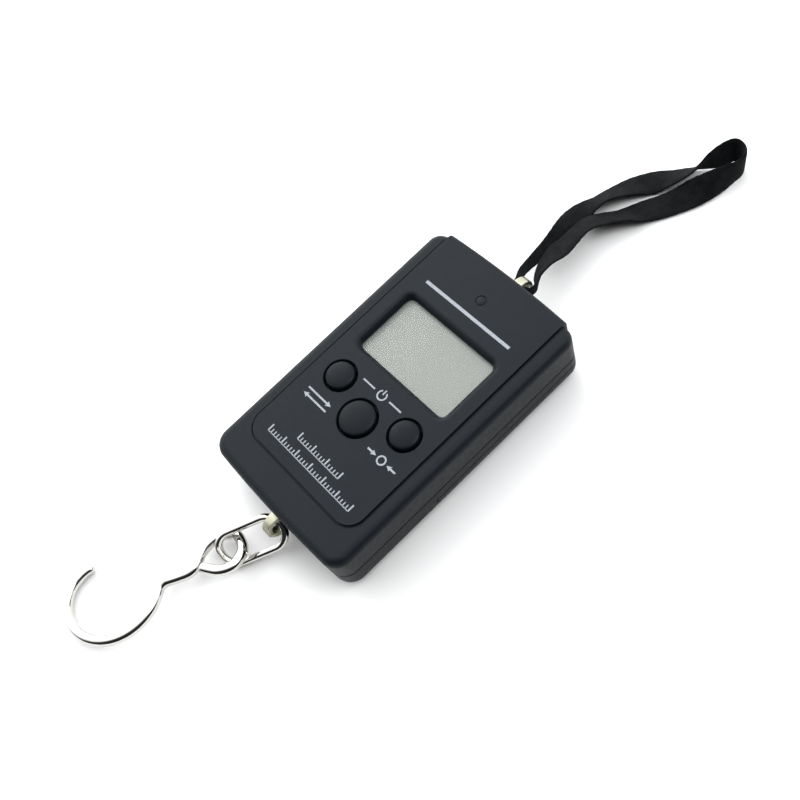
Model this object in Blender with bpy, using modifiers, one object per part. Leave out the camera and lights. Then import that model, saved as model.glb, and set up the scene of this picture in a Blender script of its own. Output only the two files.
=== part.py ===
"""Digital fish scale: a flat plastic case with a raised control panel, an internal
load cell whose two eyes stand out of the case ends, a steel link and a steel hook
on one eye and a webbing wrist strap through the other.

Frame: the scale lies on its back. +X is to the right seen from the front, +Y points
at the strap end and +Z out of the front. The origin is the middle of the flat back.
All driving dimensions are in millimetres; MM turns them into metres.
"""

import math

import bmesh
import bpy
import numpy as np
from mathutils import Matrix, Vector

MM = 0.001
GAP = 0.3
OBJECT_NAME = "digital_fish_scale"

# Case: overall size, shells and the raised panel.
CASE_HALF_WIDTH = 25.3
CASE_HOOK_END = -42.4
CASE_STRAP_END = 40.9
HOOK_END_BOW = 0.5
STRAP_END_BOW = 0.6
CASE_FRONT = 19.0
SEAM_Z = 9.5
HOOK_CORNER_RADIUS = 5.0
STRAP_CORNER_RADIUS = 4.0
FRONT_EDGE_RADIUS = 2.4
BACK_EDGE_RADIUS = 4.6
WALL = 1.6
PANEL_HALF_WIDTH = 20.8
PANEL_HOOK_END = -33.1
PANEL_STRAP_END = 41.65
PANEL_EDGE_RADIUS = 1.5
PANEL_FRONT = 19.5
PANEL_CORNER_RADIUS = 5.0
GROOVE_WIDTH = 0.45
GROOVE_DEPTH = 0.35
INNER_FRONT = 17.5
ARC_STEPS = 6
BOW_STEPS = 8

# Recess in the hook-end wall that lets the ring swing, with the thicker wall behind it.
RECESS_HALF_WIDTH = 8.0
RECESS_FLOOR = -41.0
RECESS_Z = (2.6, 14.2)

# Battery door and the walls of the battery bay.
DOOR_HOOK_EDGE = -11.4
DOOR_TOP = 6.4
DOOR_NOTCH_HALF_WIDTH = 8.0
DOOR_NOTCH_FLOOR = 3.6
BULKHEAD_HOOK_FACE = -12.9
SKIRT_X = (21.6, 23.0)
SKIRT_BOTTOM = 4.2
SKIRT_END = 36.0
SHELF_X = 15.3
SHELF_Y = 31.0

# Display stack, measured from the table.
WINDOW_CENTRE_Y = 12.05
WINDOW_HALF = (15.8, 9.35)
WINDOW_FLARE = 1.4
WINDOW_CORNER = 2.0
LENS_HALF = (17.4, 11.0)
LENS_Z = (17.0, 17.6)
LCD_HALF = (17.3, 11.65)
LCD_Z = (14.9, 16.6)
ELASTOMER_Z = (13.9, 14.6)

# Buttons: centre, hole radius, cap radius.
BUTTONS = {
    "unit": (-12.4, -6.7, 4.6, 4.2),
    "power": (0.0, -11.65, 5.5, 5.1),
    "tare": (12.4, -6.7, 4.6, 4.2),
}
BUTTON_TOP = 20.5
BUTTON_SHOULDER = 19.6
FLANGE_Z = (16.5, 17.2)
FLANGE_MARGIN = 0.8
STEM_BOTTOM = 16.3
DOT_Y = 32.1
DOT_RADIUS = 1.5

# Circuit board.
BOARD_HALF_WIDTH = 21.0
BOARD_Y = (-30.5, 30.0)
BOARD_Z = (12.8, 13.6)
BOARD_SCREWS = ((-17.5, -27.0), (17.5, -27.0), (-17.5, 27.0), (17.5, 27.0))
SWITCH_SIZE = 6.0
SWITCH_TOP = 15.1
PLUNGER_TOP = 15.6
BLOB_CENTRE = (10.0, -22.0)

# Screws: case screws are driven from the back, board screws from the board's back.
HOOK_SCREWS = ((-19.0, -34.5), (19.0, -34.5))
STRAP_SCREWS = ((-18.8, 33.5), (18.8, 33.5))
CASE_THREAD_RADIUS = 1.3
CASE_HEAD_RADIUS = 2.4
CASE_SCREW_TIP = 15.0
CASE_POST_RADIUS = 2.8
BOARD_THREAD_RADIUS = 0.8
BOARD_HEAD_RADIUS = 1.7
BOARD_POST_RADIUS = 2.2

# Load cell: a plate on edge with an eye at each end.
EYE_Y = 43.8
EYE_Z = 8.3
EYE_RADIUS = 4.2
EYE_HOLE_RADIUS = 2.6
EYE_CHAMFER = 0.4
CELL_HALF_THICKNESS = 1.3

# Batteries and contacts.
BATTERY_X = 9.5
BATTERY_Z = 7.05
BATTERY_RADIUS = 5.25
BATTERY_LENGTH = 44.5
NUB_RADIUS = 1.9
NUB_LENGTH = 0.8
PLATE_Y = (-11.1, -10.7)
BRIDGE_Y = (37.3, 37.7)
SPRING_RADIUS = 3.0
SPRING_WIRE = 0.25
SPRING_TURNS = 3.5

# Steel link through the hook-end eye.
LINK_HALF_STRAIGHT = 5.0
LINK_END_RADIUS = 4.5
LINK_WIRE = 1.05
LINK_CENTRE = (-3.08, -52.05, 5.24)
LINK_LONG_AXIS = (0.466, 0.861, 0.204)
LINK_NORMAL = (0.504, -0.447, 0.739)

# Hook: bend, throat and twisted eye, drawn in its own plane with +Y along the shank.
HOOK_WIRE = 1.5
HOOK_BEND_RADIUS = 13.7
HOOK_TIP_RADIUS = 9.2
HOOK_NECK_RADIUS = 3.0
HOOK_SHANK_X = 3.0
HOOK_BEND_TURN = -79.4
HOOK_TIP_TURN = 183.0
HOOK_EYE_ROUTE = (
    (3.1, 19.2, 0.0), (2.9, 22.0, 0.0), (1.7, 24.0, 0.0), (-0.9, 25.6, 0.0),
    (-2.9, 27.9, 0.0), (-3.95, 30.6, 0.0), (-4.1, 33.4, 0.15), (-3.1, 36.0, 0.45),
    (-1.22, 37.31, 0.8), (2.68, 37.77, 1.3), (6.08, 35.09, 1.8), (6.45, 31.29, 2.2),
    (4.94, 28.1, 2.45), (3.69, 26.27, 2.5),
)
HOOK_PIVOT = (-6.728, -59.527, 3.689)
HOOK_ORIGIN = (-22.31, -87.79, 2.64)
HOOK_TURN = (-1.06, -6.04, -27.56)

# Strap: (x, y, z, bank, half width), once round from the eye and back to it.
STRAP_THICKNESS = 1.0
STRAP_ROUTE = (
    (0.0, 44.2, 8.3, 90, 1.9), (-1.9, 44.5, 8.3, 90, 1.9), (-2.7, 46.2, 8.0, 94, 2.0),
    (-4.6, 49.6, 6.6, 96, 2.0), (-5.6, 54.7, 5.2, 104, 2.2), (-6.2, 60.2, 3.9, 116, 2.6),
    (-7.1, 66.6, 2.8, 136, 3.0), (-8.0, 72.6, 1.5, 172, 3.4), (-7.7, 76.1, 1.5, 188, 3.6),
    (-6.3, 80.3, 2.8, 214, 3.8), (-5.0, 84.8, 2.6, 212, 3.8), (-2.6, 90.2, 1.8, 196, 3.8),
    (0.5, 95.2, 0.9, 180, 3.8), (4.2, 99.3, 2.1, 202, 3.8), (7.3, 103.5, 3.4, 226, 3.8),
    (9.5, 108.3, 4.3, 268, 3.8), (11.0, 112.3, 4.3, 288, 3.8), (12.6, 115.2, 4.3, 286, 3.8),
    (15.7, 114.8, 4.3, 276, 3.8), (17.4, 112.1, 4.3, 268, 3.8), (16.7, 108.4, 4.3, 258, 3.8),
    (14.8, 103.7, 3.7, 234, 3.8), (12.1, 98.7, 2.3, 204, 3.8), (9.3, 93.5, 1.1, 184, 3.8),
    (6.3, 88.6, 0.9, 178, 3.8), (4.1, 84.5, 1.6, 166, 3.8), (2.1, 80.9, 2.8, 150, 3.8),
    (-0.4, 76.8, 3.9, 152, 3.8), (-1.9, 73.0, 4.9, 152, 3.8), (-2.2, 68.9, 5.6, 148, 3.7),
    (-1.8, 64.7, 6.2, 140, 3.5), (-1.3, 60.1, 7.1, 122, 3.0), (-0.8, 55.3, 8.0, 102, 2.5),
    (0.6, 50.8, 8.6, 94, 2.1), (2.7, 47.6, 8.6, 90, 1.9), (1.9, 44.7, 8.4, 90, 1.9),
)
STRAP_STATIONS = 88


def clear_scene():
    for obj in list(bpy.data.objects):
        bpy.data.objects.remove(obj, do_unlink=True)


def new_collection(name):
    collection = bpy.data.collections.new(name)
    bpy.context.scene.collection.children.link(collection)
    return collection


def new_material(name, colour, roughness, metallic=0.0):
    """A plain Principled material; the colour is linear RGB."""
    material = bpy.data.materials.new(name)
    material.use_nodes = True
    shader = material.node_tree.nodes["Principled BSDF"]
    shader.inputs["Base Color"].default_value = (*colour, 1.0)
    shader.inputs["Roughness"].default_value = roughness
    shader.inputs["Metallic"].default_value = metallic
    return material


clear_scene()
PARTS = new_collection(OBJECT_NAME)
CUTTERS = new_collection("cutters")


def add_object(name, mesh, material=None, origin=(0.0, 0.0, 0.0)):
    """Link a mesh drawn in millimetres of the world as an object whose origin is `origin`."""
    mesh.transform(Matrix.Translation(-Vector(origin)))
    mesh.transform(Matrix.Scale(MM, 4))
    obj = bpy.data.objects.new(name, mesh)
    obj.location = Vector(origin) * MM
    if material is None:
        CUTTERS.objects.link(obj)
        obj.hide_render = True
        obj.display_type = "WIRE"
    else:
        PARTS.objects.link(obj)
        mesh.materials.append(material)
    return obj


def smooth(obj, angle=35.0):
    obj.data.shade_smooth()
    obj.data.set_sharp_from_angle(angle=math.radians(angle))
    return obj


def boolean(target, tool, operation="DIFFERENCE"):
    modifier = target.modifiers.new(tool.name, "BOOLEAN")
    modifier.operation = operation
    modifier.object = tool


def mesh_from(bm, name):
    mesh = bpy.data.meshes.new(name)
    bm.to_mesh(mesh)
    bm.free()
    return mesh


def boxes_mesh(name, boxes):
    """One mesh of axis-aligned boxes, each given by its lowest and highest corner."""
    bm = bmesh.new()
    for low, high in boxes:
        size = Vector(high) - Vector(low)
        place = Matrix.Translation((Vector(low) + Vector(high)) / 2)
        bmesh.ops.create_cube(bm, size=1.0, matrix=place @ Matrix.Diagonal((*size, 1.0)))
    return mesh_from(bm, name)


def cylinders_mesh(name, cylinders, sides=20):
    """One mesh of upright cylinders, each given by x, y, radius, bottom and top."""
    bm = bmesh.new()
    for x, y, radius, bottom, top in cylinders:
        bmesh.ops.create_cone(
            bm,
            cap_ends=True,
            segments=sides,
            radius1=radius,
            radius2=radius,
            depth=top - bottom,
            matrix=Matrix.Translation((x, y, (bottom + top) / 2)),
        )
    return mesh_from(bm, name)


def arc(centre, radius, start, end, steps=ARC_STEPS):
    """Points along an arc, in degrees, both ends included."""
    return [
        (centre[0] + radius * math.cos(a), centre[1] + radius * math.sin(a))
        for a in np.radians(np.linspace(start, end, steps + 1))
    ]


def bowed_end(half, edge, bow):
    """The points between the corners of an end that bows outwards, from -X to +X."""
    stops = np.linspace(-half, half, BOW_STEPS + 1)[1:-1] if bow else []
    return [(x, edge + bow * (1.0 - (x / half) ** 2)) for x in stops]


def rounded_outline(half_width, low, high, low_radius, high_radius, low_bow=0.0, high_bow=0.0):
    """Anticlockwise outline symmetric about x = 0, each end with its own corners and bow."""
    points = []
    corners = (
        (1, low, low_radius, -90.0), (1, high, high_radius, 0.0),
        (-1, high, high_radius, 90.0), (-1, low, low_radius, 180.0),
    )
    for side, edge, radius, start in corners:
        inward = radius if edge == low else -radius
        centre = (side * (half_width - radius), edge + inward)
        points += arc(centre, radius, start, start + 90.0) if radius else [centre]
        if (side, edge) == (1, high):
            points += bowed_end(half_width - radius, edge, high_bow)[::-1]
    return points + bowed_end(half_width - low_radius, low, -low_bow)


def slab_mesh(name, outline, bottom, top):
    """A flat outline extruded between two heights: a filled 2D curve turned into a mesh."""
    curve = bpy.data.curves.new(name, "CURVE")
    curve.dimensions = "2D"
    curve.fill_mode = "BOTH"
    curve.extrude = (top - bottom) / 2
    spline = curve.splines.new("POLY")
    spline.points.add(len(outline) - 1)
    for point, (x, y) in zip(spline.points, outline):
        point.co = (x, y, 0.0, 1.0)
    spline.use_cyclic_u = True
    mesh = curve_to_mesh(name, curve)
    mesh.transform(Matrix.Translation((0.0, 0.0, (bottom + top) / 2)))
    return mesh


def curve_to_mesh(name, curve):
    """The closed mesh of a curve, its loose caps welded on, and the curve removed."""
    guide = bpy.data.objects.new(name + "_curve", curve)
    CUTTERS.objects.link(guide)
    graph = bpy.context.evaluated_depsgraph_get()
    mesh = bpy.data.meshes.new_from_object(guide.evaluated_get(graph))
    bpy.data.objects.remove(guide, do_unlink=True)
    bm = bmesh.new()
    bm.from_mesh(mesh)
    bmesh.ops.remove_doubles(bm, verts=bm.verts, dist=0.001)
    bmesh.ops.dissolve_limit(bm, angle_limit=0.001, verts=bm.verts, edges=bm.edges)
    bmesh.ops.recalc_face_normals(bm, faces=bm.faces)
    bm.to_mesh(mesh)
    bm.free()
    mesh.name = name
    return mesh


def round_edges(mesh, chosen, radius, segments=4):
    """Bevel the sharp edges whose middle satisfies `chosen`."""
    bm = bmesh.new()
    bm.from_mesh(mesh)
    bm.normal_update()
    edges = [
        edge
        for edge in bm.edges
        if edge.calc_face_angle(0.0) > 0.6
        and chosen((edge.verts[0].co + edge.verts[1].co) / 2)
    ]
    bmesh.ops.bevel(
        bm, geom=edges, offset=radius, segments=segments, profile=0.5, affect="EDGES"
    )
    bm.to_mesh(mesh)
    bm.free()
    return mesh


def turned(name, profile, material, place, steps=24, turn=(0.0, 0.0, 0.0)):
    """A solid of revolution about its own Z: the (radius, z) profile runs down its outer side."""
    mesh = bpy.data.meshes.new(name)
    edges = [(i, i + 1) for i in range(len(profile) - 1)]
    mesh.from_pydata([(radius, 0.0, z) for radius, z in profile], edges, [])
    obj = add_object(name, mesh, material)
    obj.location = Vector(place) * MM
    obj.rotation_euler = [math.radians(a) for a in turn]
    screw = obj.modifiers.new("turn", "SCREW")
    screw.steps = steps
    screw.render_steps = steps
    screw.use_merge_vertices = True
    screw.merge_threshold = 0.00001
    screw.use_smooth_shade = True
    return obj


def tube_mesh(name, points, radius, closed=False):
    """Round wire along points, as a POLY curve with a bevel."""
    curve = bpy.data.curves.new(name, "CURVE")
    curve.dimensions = "3D"
    curve.bevel_depth = radius
    curve.bevel_resolution = 2
    curve.use_fill_caps = True
    spline = curve.splines.new("POLY")
    spline.points.add(len(points) - 1)
    for point, place in zip(spline.points, points):
        point.co = (*place, 1.0)
    spline.use_cyclic_u = closed
    return curve_to_mesh(name, curve)


def smooth_route(points, samples, closed=False):
    """Evenly spaced rows read from a Catmull-Rom curve through rows of numbers."""
    rows = np.array(points, float)
    if closed:
        rows = np.vstack((rows[-1:], rows, rows[:2]))
    else:
        rows = np.vstack((2 * rows[0] - rows[1], rows, 2 * rows[-1] - rows[-2]))
    dense = []
    for before, start, end, after in zip(rows, rows[1:], rows[2:], rows[3:]):
        for t in np.linspace(0.0, 1.0, 16, endpoint=False):
            dense.append(
                0.5 * (2 * start + (end - before) * t
                       + (2 * before - 5 * start + 4 * end - after) * t**2
                       + (3 * start - before - 3 * end + after) * t**3)
            )
    if not closed:
        dense.append(rows[-2])
    dense = np.array(dense)
    if closed:
        dense = np.vstack((dense, dense[:1]))
    steps = np.linalg.norm(np.diff(dense[:, :3], axis=0), axis=1)
    travelled = np.concatenate(([0.0], np.cumsum(steps)))
    stops = np.linspace(0.0, travelled[-1], samples, endpoint=not closed)
    return np.array([np.interp(stops, travelled, column) for column in dense.T]).T


def case_outline(inset=0.0):
    return rounded_outline(
        CASE_HALF_WIDTH - inset,
        CASE_HOOK_END + inset,
        CASE_STRAP_END - inset,
        HOOK_CORNER_RADIUS - inset,
        STRAP_CORNER_RADIUS - inset,
        HOOK_END_BOW,
        STRAP_END_BOW,
    )


def panel_outline(margin=0.0, strap_end=PANEL_STRAP_END):
    return rounded_outline(
        PANEL_HALF_WIDTH + margin,
        PANEL_HOOK_END - margin,
        strap_end,
        PANEL_CORNER_RADIUS + margin,
        0.0,
        high_bow=STRAP_END_BOW,
    )


def window_outline(half, corner):
    outline = rounded_outline(half[0], -half[1], half[1], corner, corner)
    return [(x, y + WINDOW_CENTRE_Y) for x, y in outline]


def window_cutter():
    """The display window: a slab whose front face is wider than its back face."""
    back, front = LENS_Z[1] - 1.0, PANEL_FRONT + 0.5
    outline = window_outline(WINDOW_HALF, WINDOW_CORNER)
    mesh = slab_mesh("window", outline, back, front)
    slope = WINDOW_FLARE / (PANEL_FRONT - LENS_Z[1] - GAP)
    flare = slope * (front - LENS_Z[1] - GAP)
    for vertex in mesh.vertices:
        if vertex.co.z > (back + front) / 2:
            vertex.co.x *= 1 + flare / WINDOW_HALF[0]
            vertex.co.y = WINDOW_CENTRE_Y + (vertex.co.y - WINDOW_CENTRE_Y) * (
                1 + flare / WINDOW_HALF[1]
            )
    bottom = slab_mesh("window_throat", outline, back, LENS_Z[1] + GAP)
    for vertex in mesh.vertices:
        if vertex.co.z < (back + front) / 2:
            vertex.co.z = LENS_Z[1] + GAP - 0.001
    return add_object("window", mesh), add_object("window_throat", bottom)


def tongue_slot():
    """The way through both end walls for the load cell."""
    half = CELL_HALF_THICKNESS + 0.5
    low = EYE_Z - EYE_RADIUS - 0.2
    high = EYE_Z + EYE_RADIUS + 0.2
    return boxes_mesh("tongue_slot", [((-half, -50.0, low), (half, 50.0, high))])


def recess_wall(case, name, low, high):
    """Thicken the hook-end wall between two heights and sink the recess into it."""
    half = RECESS_HALF_WIDTH + WALL
    block = [((-half, RECESS_FLOOR - 0.7, low), (half, RECESS_FLOOR + WALL, high))]
    boolean(case, add_object(name + "_wall", boxes_mesh(name + "_wall", block)), "UNION")
    half = RECESS_HALF_WIDTH
    space = [((-half, -50.0, RECESS_Z[0]), (half, RECESS_FLOOR, RECESS_Z[1]))]
    boolean(case, add_object(name + "_recess", boxes_mesh(name + "_recess", space)))


def front_case(material):
    seam = SEAM_Z + GAP / 2
    shell = slab_mesh("front_case", case_outline(), seam, CASE_FRONT)
    round_edges(shell, lambda p: p.z > CASE_FRONT - 0.01, FRONT_EDGE_RADIUS)
    case = add_object("front_case", shell, material)

    groove = slab_mesh(
        "panel_groove", panel_outline(GROOVE_WIDTH, 45.0), CASE_FRONT - GROOVE_DEPTH, 25.0
    )
    boolean(case, add_object("panel_groove", groove))
    panel = slab_mesh("panel", panel_outline(), seam, PANEL_FRONT)
    round_edges(
        panel,
        lambda p: p.z > PANEL_FRONT - 0.01 and p.y > PANEL_STRAP_END - 0.01,
        PANEL_EDGE_RADIUS,
    )
    boolean(case, add_object("panel", panel), "UNION")
    hollow = slab_mesh("front_hollow", case_outline(WALL), seam - 1.0, INNER_FRONT)
    round_edges(hollow, lambda p: p.z > INNER_FRONT - 0.01, FRONT_EDGE_RADIUS - WALL, 2)
    boolean(case, add_object("front_hollow", hollow))

    base = INNER_FRONT + 0.5
    posts = [(x, y, CASE_POST_RADIUS, 6.8, base) for x, y in HOOK_SCREWS]
    posts += [(x, y, CASE_POST_RADIUS, seam, base) for x, y in STRAP_SCREWS]
    posts += [(x, y, BOARD_POST_RADIUS, BOARD_Z[1] + GAP, base) for x, y in BOARD_SCREWS]
    boolean(case, add_object("front_posts", cylinders_mesh("front_posts", posts)), "UNION")

    thread = CASE_THREAD_RADIUS + GAP
    pilots = [(x, y, thread, 5.0, 16.0) for x, y in HOOK_SCREWS + STRAP_SCREWS]
    thread = BOARD_THREAD_RADIUS + GAP
    pilots += [(x, y, thread, 12.0, 17.0) for x, y in BOARD_SCREWS]
    boolean(case, add_object("pilots", cylinders_mesh("pilots", pilots, 16)))

    pocket_half = [size + GAP for size in LENS_HALF]
    pocket = slab_mesh(
        "lens_pocket", window_outline(pocket_half, 1.0), INNER_FRONT - 1.0, LENS_Z[1] + GAP
    )
    boolean(case, add_object("lens_pocket", pocket))
    for cutter in window_cutter():
        boolean(case, cutter)
    holes = [(x, y, hole, 15.0, 22.0) for x, y, hole, cap in BUTTONS.values()]
    holes.append((0.0, DOT_Y, DOT_RADIUS, PANEL_FRONT - 0.3, 22.0))
    boolean(case, add_object("button_holes", cylinders_mesh("button_holes", holes, 32)))
    recess_wall(case, "front", seam + 0.1, RECESS_Z[1] + WALL)
    boolean(case, add_object("front_tongue_slot", tongue_slot()))
    return smooth(case)


def back_shell(name, material, top, origin):
    """The rounded back of the case up to `top`, hollowed; rear case and door share it."""
    shell = slab_mesh(name, case_outline(), 0.0, top)
    round_edges(shell, lambda p: p.z < 0.01, BACK_EDGE_RADIUS)
    obj = add_object(name, shell, material, origin)
    hollow = slab_mesh(name + "_hollow", case_outline(WALL), WALL, top + 1.0)
    round_edges(hollow, lambda p: p.z < WALL + 0.01, BACK_EDGE_RADIUS - WALL, 3)
    boolean(obj, add_object(name + "_hollow", hollow))
    return obj


def rear_case(material):
    top = SEAM_Z - GAP / 2
    case = back_shell("rear_case", material, top, (0.0, 0.0, 0.0))
    door_space = [((-30.0, DOOR_HOOK_EDGE, -1.0), (30.0, 45.0, DOOR_TOP))]
    boolean(case, add_object("door_space", boxes_mesh("door_space", door_space)))

    inner = CASE_HALF_WIDTH - WALL
    end = CASE_STRAP_END - WALL + 0.5
    walls = [((-inner - 0.5, BULKHEAD_HOOK_FACE, WALL - 0.5), (inner + 0.5, DOOR_HOOK_EDGE, top))]
    boolean(case, add_object("bulkhead", boxes_mesh("bulkhead", walls)), "UNION")
    for side in (-1, 1):
        name = "bay_wall_left" if side < 0 else "bay_wall_right"
        low, high = sorted((side * SKIRT_X[0], side * SKIRT_X[1]))
        skirt = [((low, DOOR_HOOK_EDGE - 0.3, SKIRT_BOTTOM), (high, SKIRT_END, top))]
        boolean(case, add_object(name, boxes_mesh(name, skirt)), "UNION")
        low, high = sorted((side * SKIRT_X[0], side * (inner + 0.3)))
        ledge = [((low, DOOR_HOOK_EDGE - 0.3, DOOR_TOP), (high, end, top))]
        boolean(case, add_object(name + "_ledge", boxes_mesh(name, ledge)), "UNION")
        low, high = sorted((side * SHELF_X, side * (inner + 0.3)))
        shelf = [((low, SHELF_Y, DOOR_TOP), (high, end, top))]
        boolean(case, add_object(name + "_shelf", boxes_mesh(name, shelf)), "UNION")

    bosses = [(x, y, 3.8, WALL - 0.5, 6.5) for x, y in HOOK_SCREWS]
    boolean(case, add_object("rear_bosses", cylinders_mesh("rear_bosses", bosses)), "UNION")
    bores = [(x, y, CASE_HEAD_RADIUS + 0.4, -1.0, 4.0) for x, y in HOOK_SCREWS]
    boolean(case, add_object("counterbores", cylinders_mesh("counterbores", bores)))
    radius = CASE_THREAD_RADIUS + GAP
    holes = [(x, y, radius, 3.0, 12.0) for x, y in HOOK_SCREWS + STRAP_SCREWS]
    boolean(case, add_object("screw_holes", cylinders_mesh("screw_holes", holes, 16)))
    recess_wall(case, "rear", WALL - 0.5, top - 0.1)
    boolean(case, add_object("rear_tongue_slot", tongue_slot()))
    return smooth(case)


def battery_door(material):
    edge = DOOR_HOOK_EDGE + GAP
    door = back_shell("battery_door", material, DOOR_TOP - GAP, (0.0, edge, 0.0))
    rest = [((-30.0, -45.0, -1.0), (30.0, edge, 12.0))]
    boolean(door, add_object("door_edge", boxes_mesh("door_edge", rest)))
    half = DOOR_NOTCH_HALF_WIDTH
    notch = [((-half, 36.0, DOOR_NOTCH_FLOOR), (half, 45.0, 12.0))]
    boolean(door, add_object("door_notch", boxes_mesh("door_notch", notch)))
    return smooth(door)


def display(lens_material, lcd_material, elastomer_material):
    lens = slab_mesh("lcd_lens", window_outline(LENS_HALF, 0.7), *LENS_Z)
    add_object("lcd_lens", lens, lens_material)
    glass = slab_mesh("lcd_glass", window_outline(LCD_HALF, 0.4), *LCD_Z)
    add_object("lcd_glass", glass, lcd_material)
    strip = [((-15.5, 1.0, ELASTOMER_Z[0]), (15.5, 3.0, ELASTOMER_Z[1]))]
    add_object("lcd_elastomer", boxes_mesh("lcd_elastomer", strip), elastomer_material)


def button(name, x, y, cap_radius, material):
    """A domed cap on a flange, turned about its own travel axis."""
    rise = BUTTON_TOP - BUTTON_SHOULDER
    dome = [
        (cap_radius * math.sin(a), BUTTON_SHOULDER + rise * math.cos(a))
        for a in np.radians(np.linspace(0.0, 90.0, 7))
    ]
    profile = dome + [
        (cap_radius, FLANGE_Z[1]),
        (cap_radius + FLANGE_MARGIN, FLANGE_Z[1]),
        (cap_radius + FLANGE_MARGIN, FLANGE_Z[0]),
        (1.5, FLANGE_Z[0]),
        (1.5, STEM_BOTTOM),
        (0.0, STEM_BOTTOM),
    ]
    turned(name + "_button", profile, material, (x, y, 0.0), 28)


def tact_switch(name, x, y, body_material):
    half = SWITCH_SIZE / 2
    bottom = BOARD_Z[1] + GAP
    body = boxes_mesh(name, [((x - half, y - half, bottom), (x + half, y + half, SWITCH_TOP))])
    switch = add_object(name + "_switch", body, body_material)
    plunger = cylinders_mesh(name, [(x, y, 1.5, SWITCH_TOP - 0.5, PLUNGER_TOP)], 16)
    boolean(switch, add_object(name + "_plunger", plunger), "UNION")


def circuit_board(material, blob_material):
    outline = rounded_outline(BOARD_HALF_WIDTH, *BOARD_Y, 1.0, 1.0)
    board = add_object("circuit_board", slab_mesh("circuit_board", outline, *BOARD_Z), material)
    holes = [(x, y, BOARD_THREAD_RADIUS + GAP, 12.0, 14.0) for x, y in BOARD_SCREWS]
    boolean(board, add_object("board_holes", cylinders_mesh("board_holes", holes, 16)))
    top = BOARD_Z[0] - GAP
    profile = [(0.0, top), (4.5, top)]
    profile += [
        (4.5 * math.cos(a), top - 0.3 - 1.3 * math.sin(a))
        for a in np.radians(np.linspace(0.0, 90.0, 5))
    ]
    turned("controller_blob", profile, blob_material, (*BLOB_CENTRE, 0.0), 20)


def screw(name, x, y, head, shank, material):
    """A round-headed screw pointing up: head and shank are (radius, bottom, top)."""
    head_radius, head_bottom, head_top = head
    radius, _, tip = shank
    profile = [
        (0.0, tip), (radius * 0.5, tip), (radius, tip - 0.8), (radius, head_top),
        (head_radius, head_top), (head_radius, head_bottom + 0.5),
        (head_radius * 0.75, head_bottom), (0.0, head_bottom),
    ]
    turned(name, profile, material, (x, y, 0.0), 16)


def screws(material):
    number = 1
    for places, bottom in ((HOOK_SCREWS, 2.4), (STRAP_SCREWS, 4.8)):
        for x, y in places:
            head = (CASE_HEAD_RADIUS, bottom, bottom + 1.3)
            shank = (CASE_THREAD_RADIUS, bottom + 1.3, CASE_SCREW_TIP)
            screw(f"case_screw_{number}", x, y, head, shank, material)
            number += 1
    head = (BOARD_HEAD_RADIUS, BOARD_Z[0] - GAP - 1.2, BOARD_Z[0] - GAP)
    shank = (BOARD_THREAD_RADIUS, BOARD_Z[0] - GAP, 16.5)
    for number, (x, y) in enumerate(BOARD_SCREWS, 1):
        screw(f"board_screw_{number}", x, y, head, shank, material)


def load_cell(material, coating_material, lead_material):
    """The plate on edge, its eyes chamfered, thinned in the middle by two joined bores."""
    on_edge = Matrix(((0, 0, 1, 0), (1, 0, 0, 0), (0, 1, 0, 0), (0, 0, 0, 1)))
    outline = arc((EYE_Y, EYE_Z), EYE_RADIUS, -90.0, 90.0, 12)
    outline += arc((-EYE_Y, EYE_Z), EYE_RADIUS, 90.0, 270.0, 12)
    thickness = CELL_HALF_THICKNESS
    plate = slab_mesh("load_cell", outline, -thickness, thickness)
    plate.transform(on_edge)
    cell = add_object("load_cell", plate, material)

    face = thickness - EYE_CHAMFER
    reach = EYE_HOLE_RADIUS + EYE_CHAMFER
    eye_profile = [
        (0.0, 2.0), (reach + 2.0 - thickness, 2.0), (EYE_HOLE_RADIUS, face),
        (EYE_HOLE_RADIUS, -face), (reach + 2.0 - thickness, -2.0), (0.0, -2.0),
    ]
    for name, y in (("hook_eye", -EYE_Y), ("strap_eye", EYE_Y)):
        place = (0.0, y, EYE_Z)
        boolean(cell, turned(name, eye_profile, None, place, 24, (0.0, 90.0, 0.0)))
    bores = [(-3.4, EYE_Z, 1.7, -2.0, 2.0), (3.4, EYE_Z, 1.7, -2.0, 2.0)]
    binocular = cylinders_mesh("binocular", bores, 16)
    binocular.transform(on_edge)
    boolean(cell, add_object("binocular", binocular))
    slot = [((-2.0, -3.4, EYE_Z - 0.5), (2.0, 3.4, EYE_Z + 0.5))]
    boolean(cell, add_object("binocular_slot", boxes_mesh("binocular_slot", slot)))
    smooth(cell)

    for side, name in ((-1, "gauge_coating_left"), (1, "gauge_coating_right")):
        low, high = sorted((side * (thickness + GAP), side * (thickness + GAP + 0.6)))
        pad = [((low, -6.0, EYE_Z - 2.8), (high, 6.0, EYE_Z + 2.8))]
        add_object(name, boxes_mesh(name, pad), coating_material)
    route = ((2.4, -6.9, 9.6), (2.9, -9.2, 10.9), (3.5, -12.0, 11.3), (4.6, -15.5, 11.5))
    lead = tube_mesh("sensor_lead", smooth_route(route, 8), 0.6)
    smooth(add_object("sensor_lead", lead, lead_material))


def battery(name, side, nub_to_strap, low, material):
    """An AAA cell lying along Y, its positive nub towards the strap end or the hook end."""
    length = BATTERY_LENGTH - NUB_LENGTH
    profile = [
        (0.0, length + NUB_LENGTH), (NUB_RADIUS, length + NUB_LENGTH), (NUB_RADIUS, length),
        (BATTERY_RADIUS - 0.4, length), (BATTERY_RADIUS, length - 0.4),
        (BATTERY_RADIUS, 0.4), (BATTERY_RADIUS - 0.4, 0.0), (0.0, 0.0),
    ]
    start = low if nub_to_strap else low + BATTERY_LENGTH
    turn = (-90.0, 0.0, 0.0) if nub_to_strap else (90.0, 0.0, 0.0)
    turned(name, profile, material, (side * BATTERY_X, start, BATTERY_Z), 28, turn)


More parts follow.
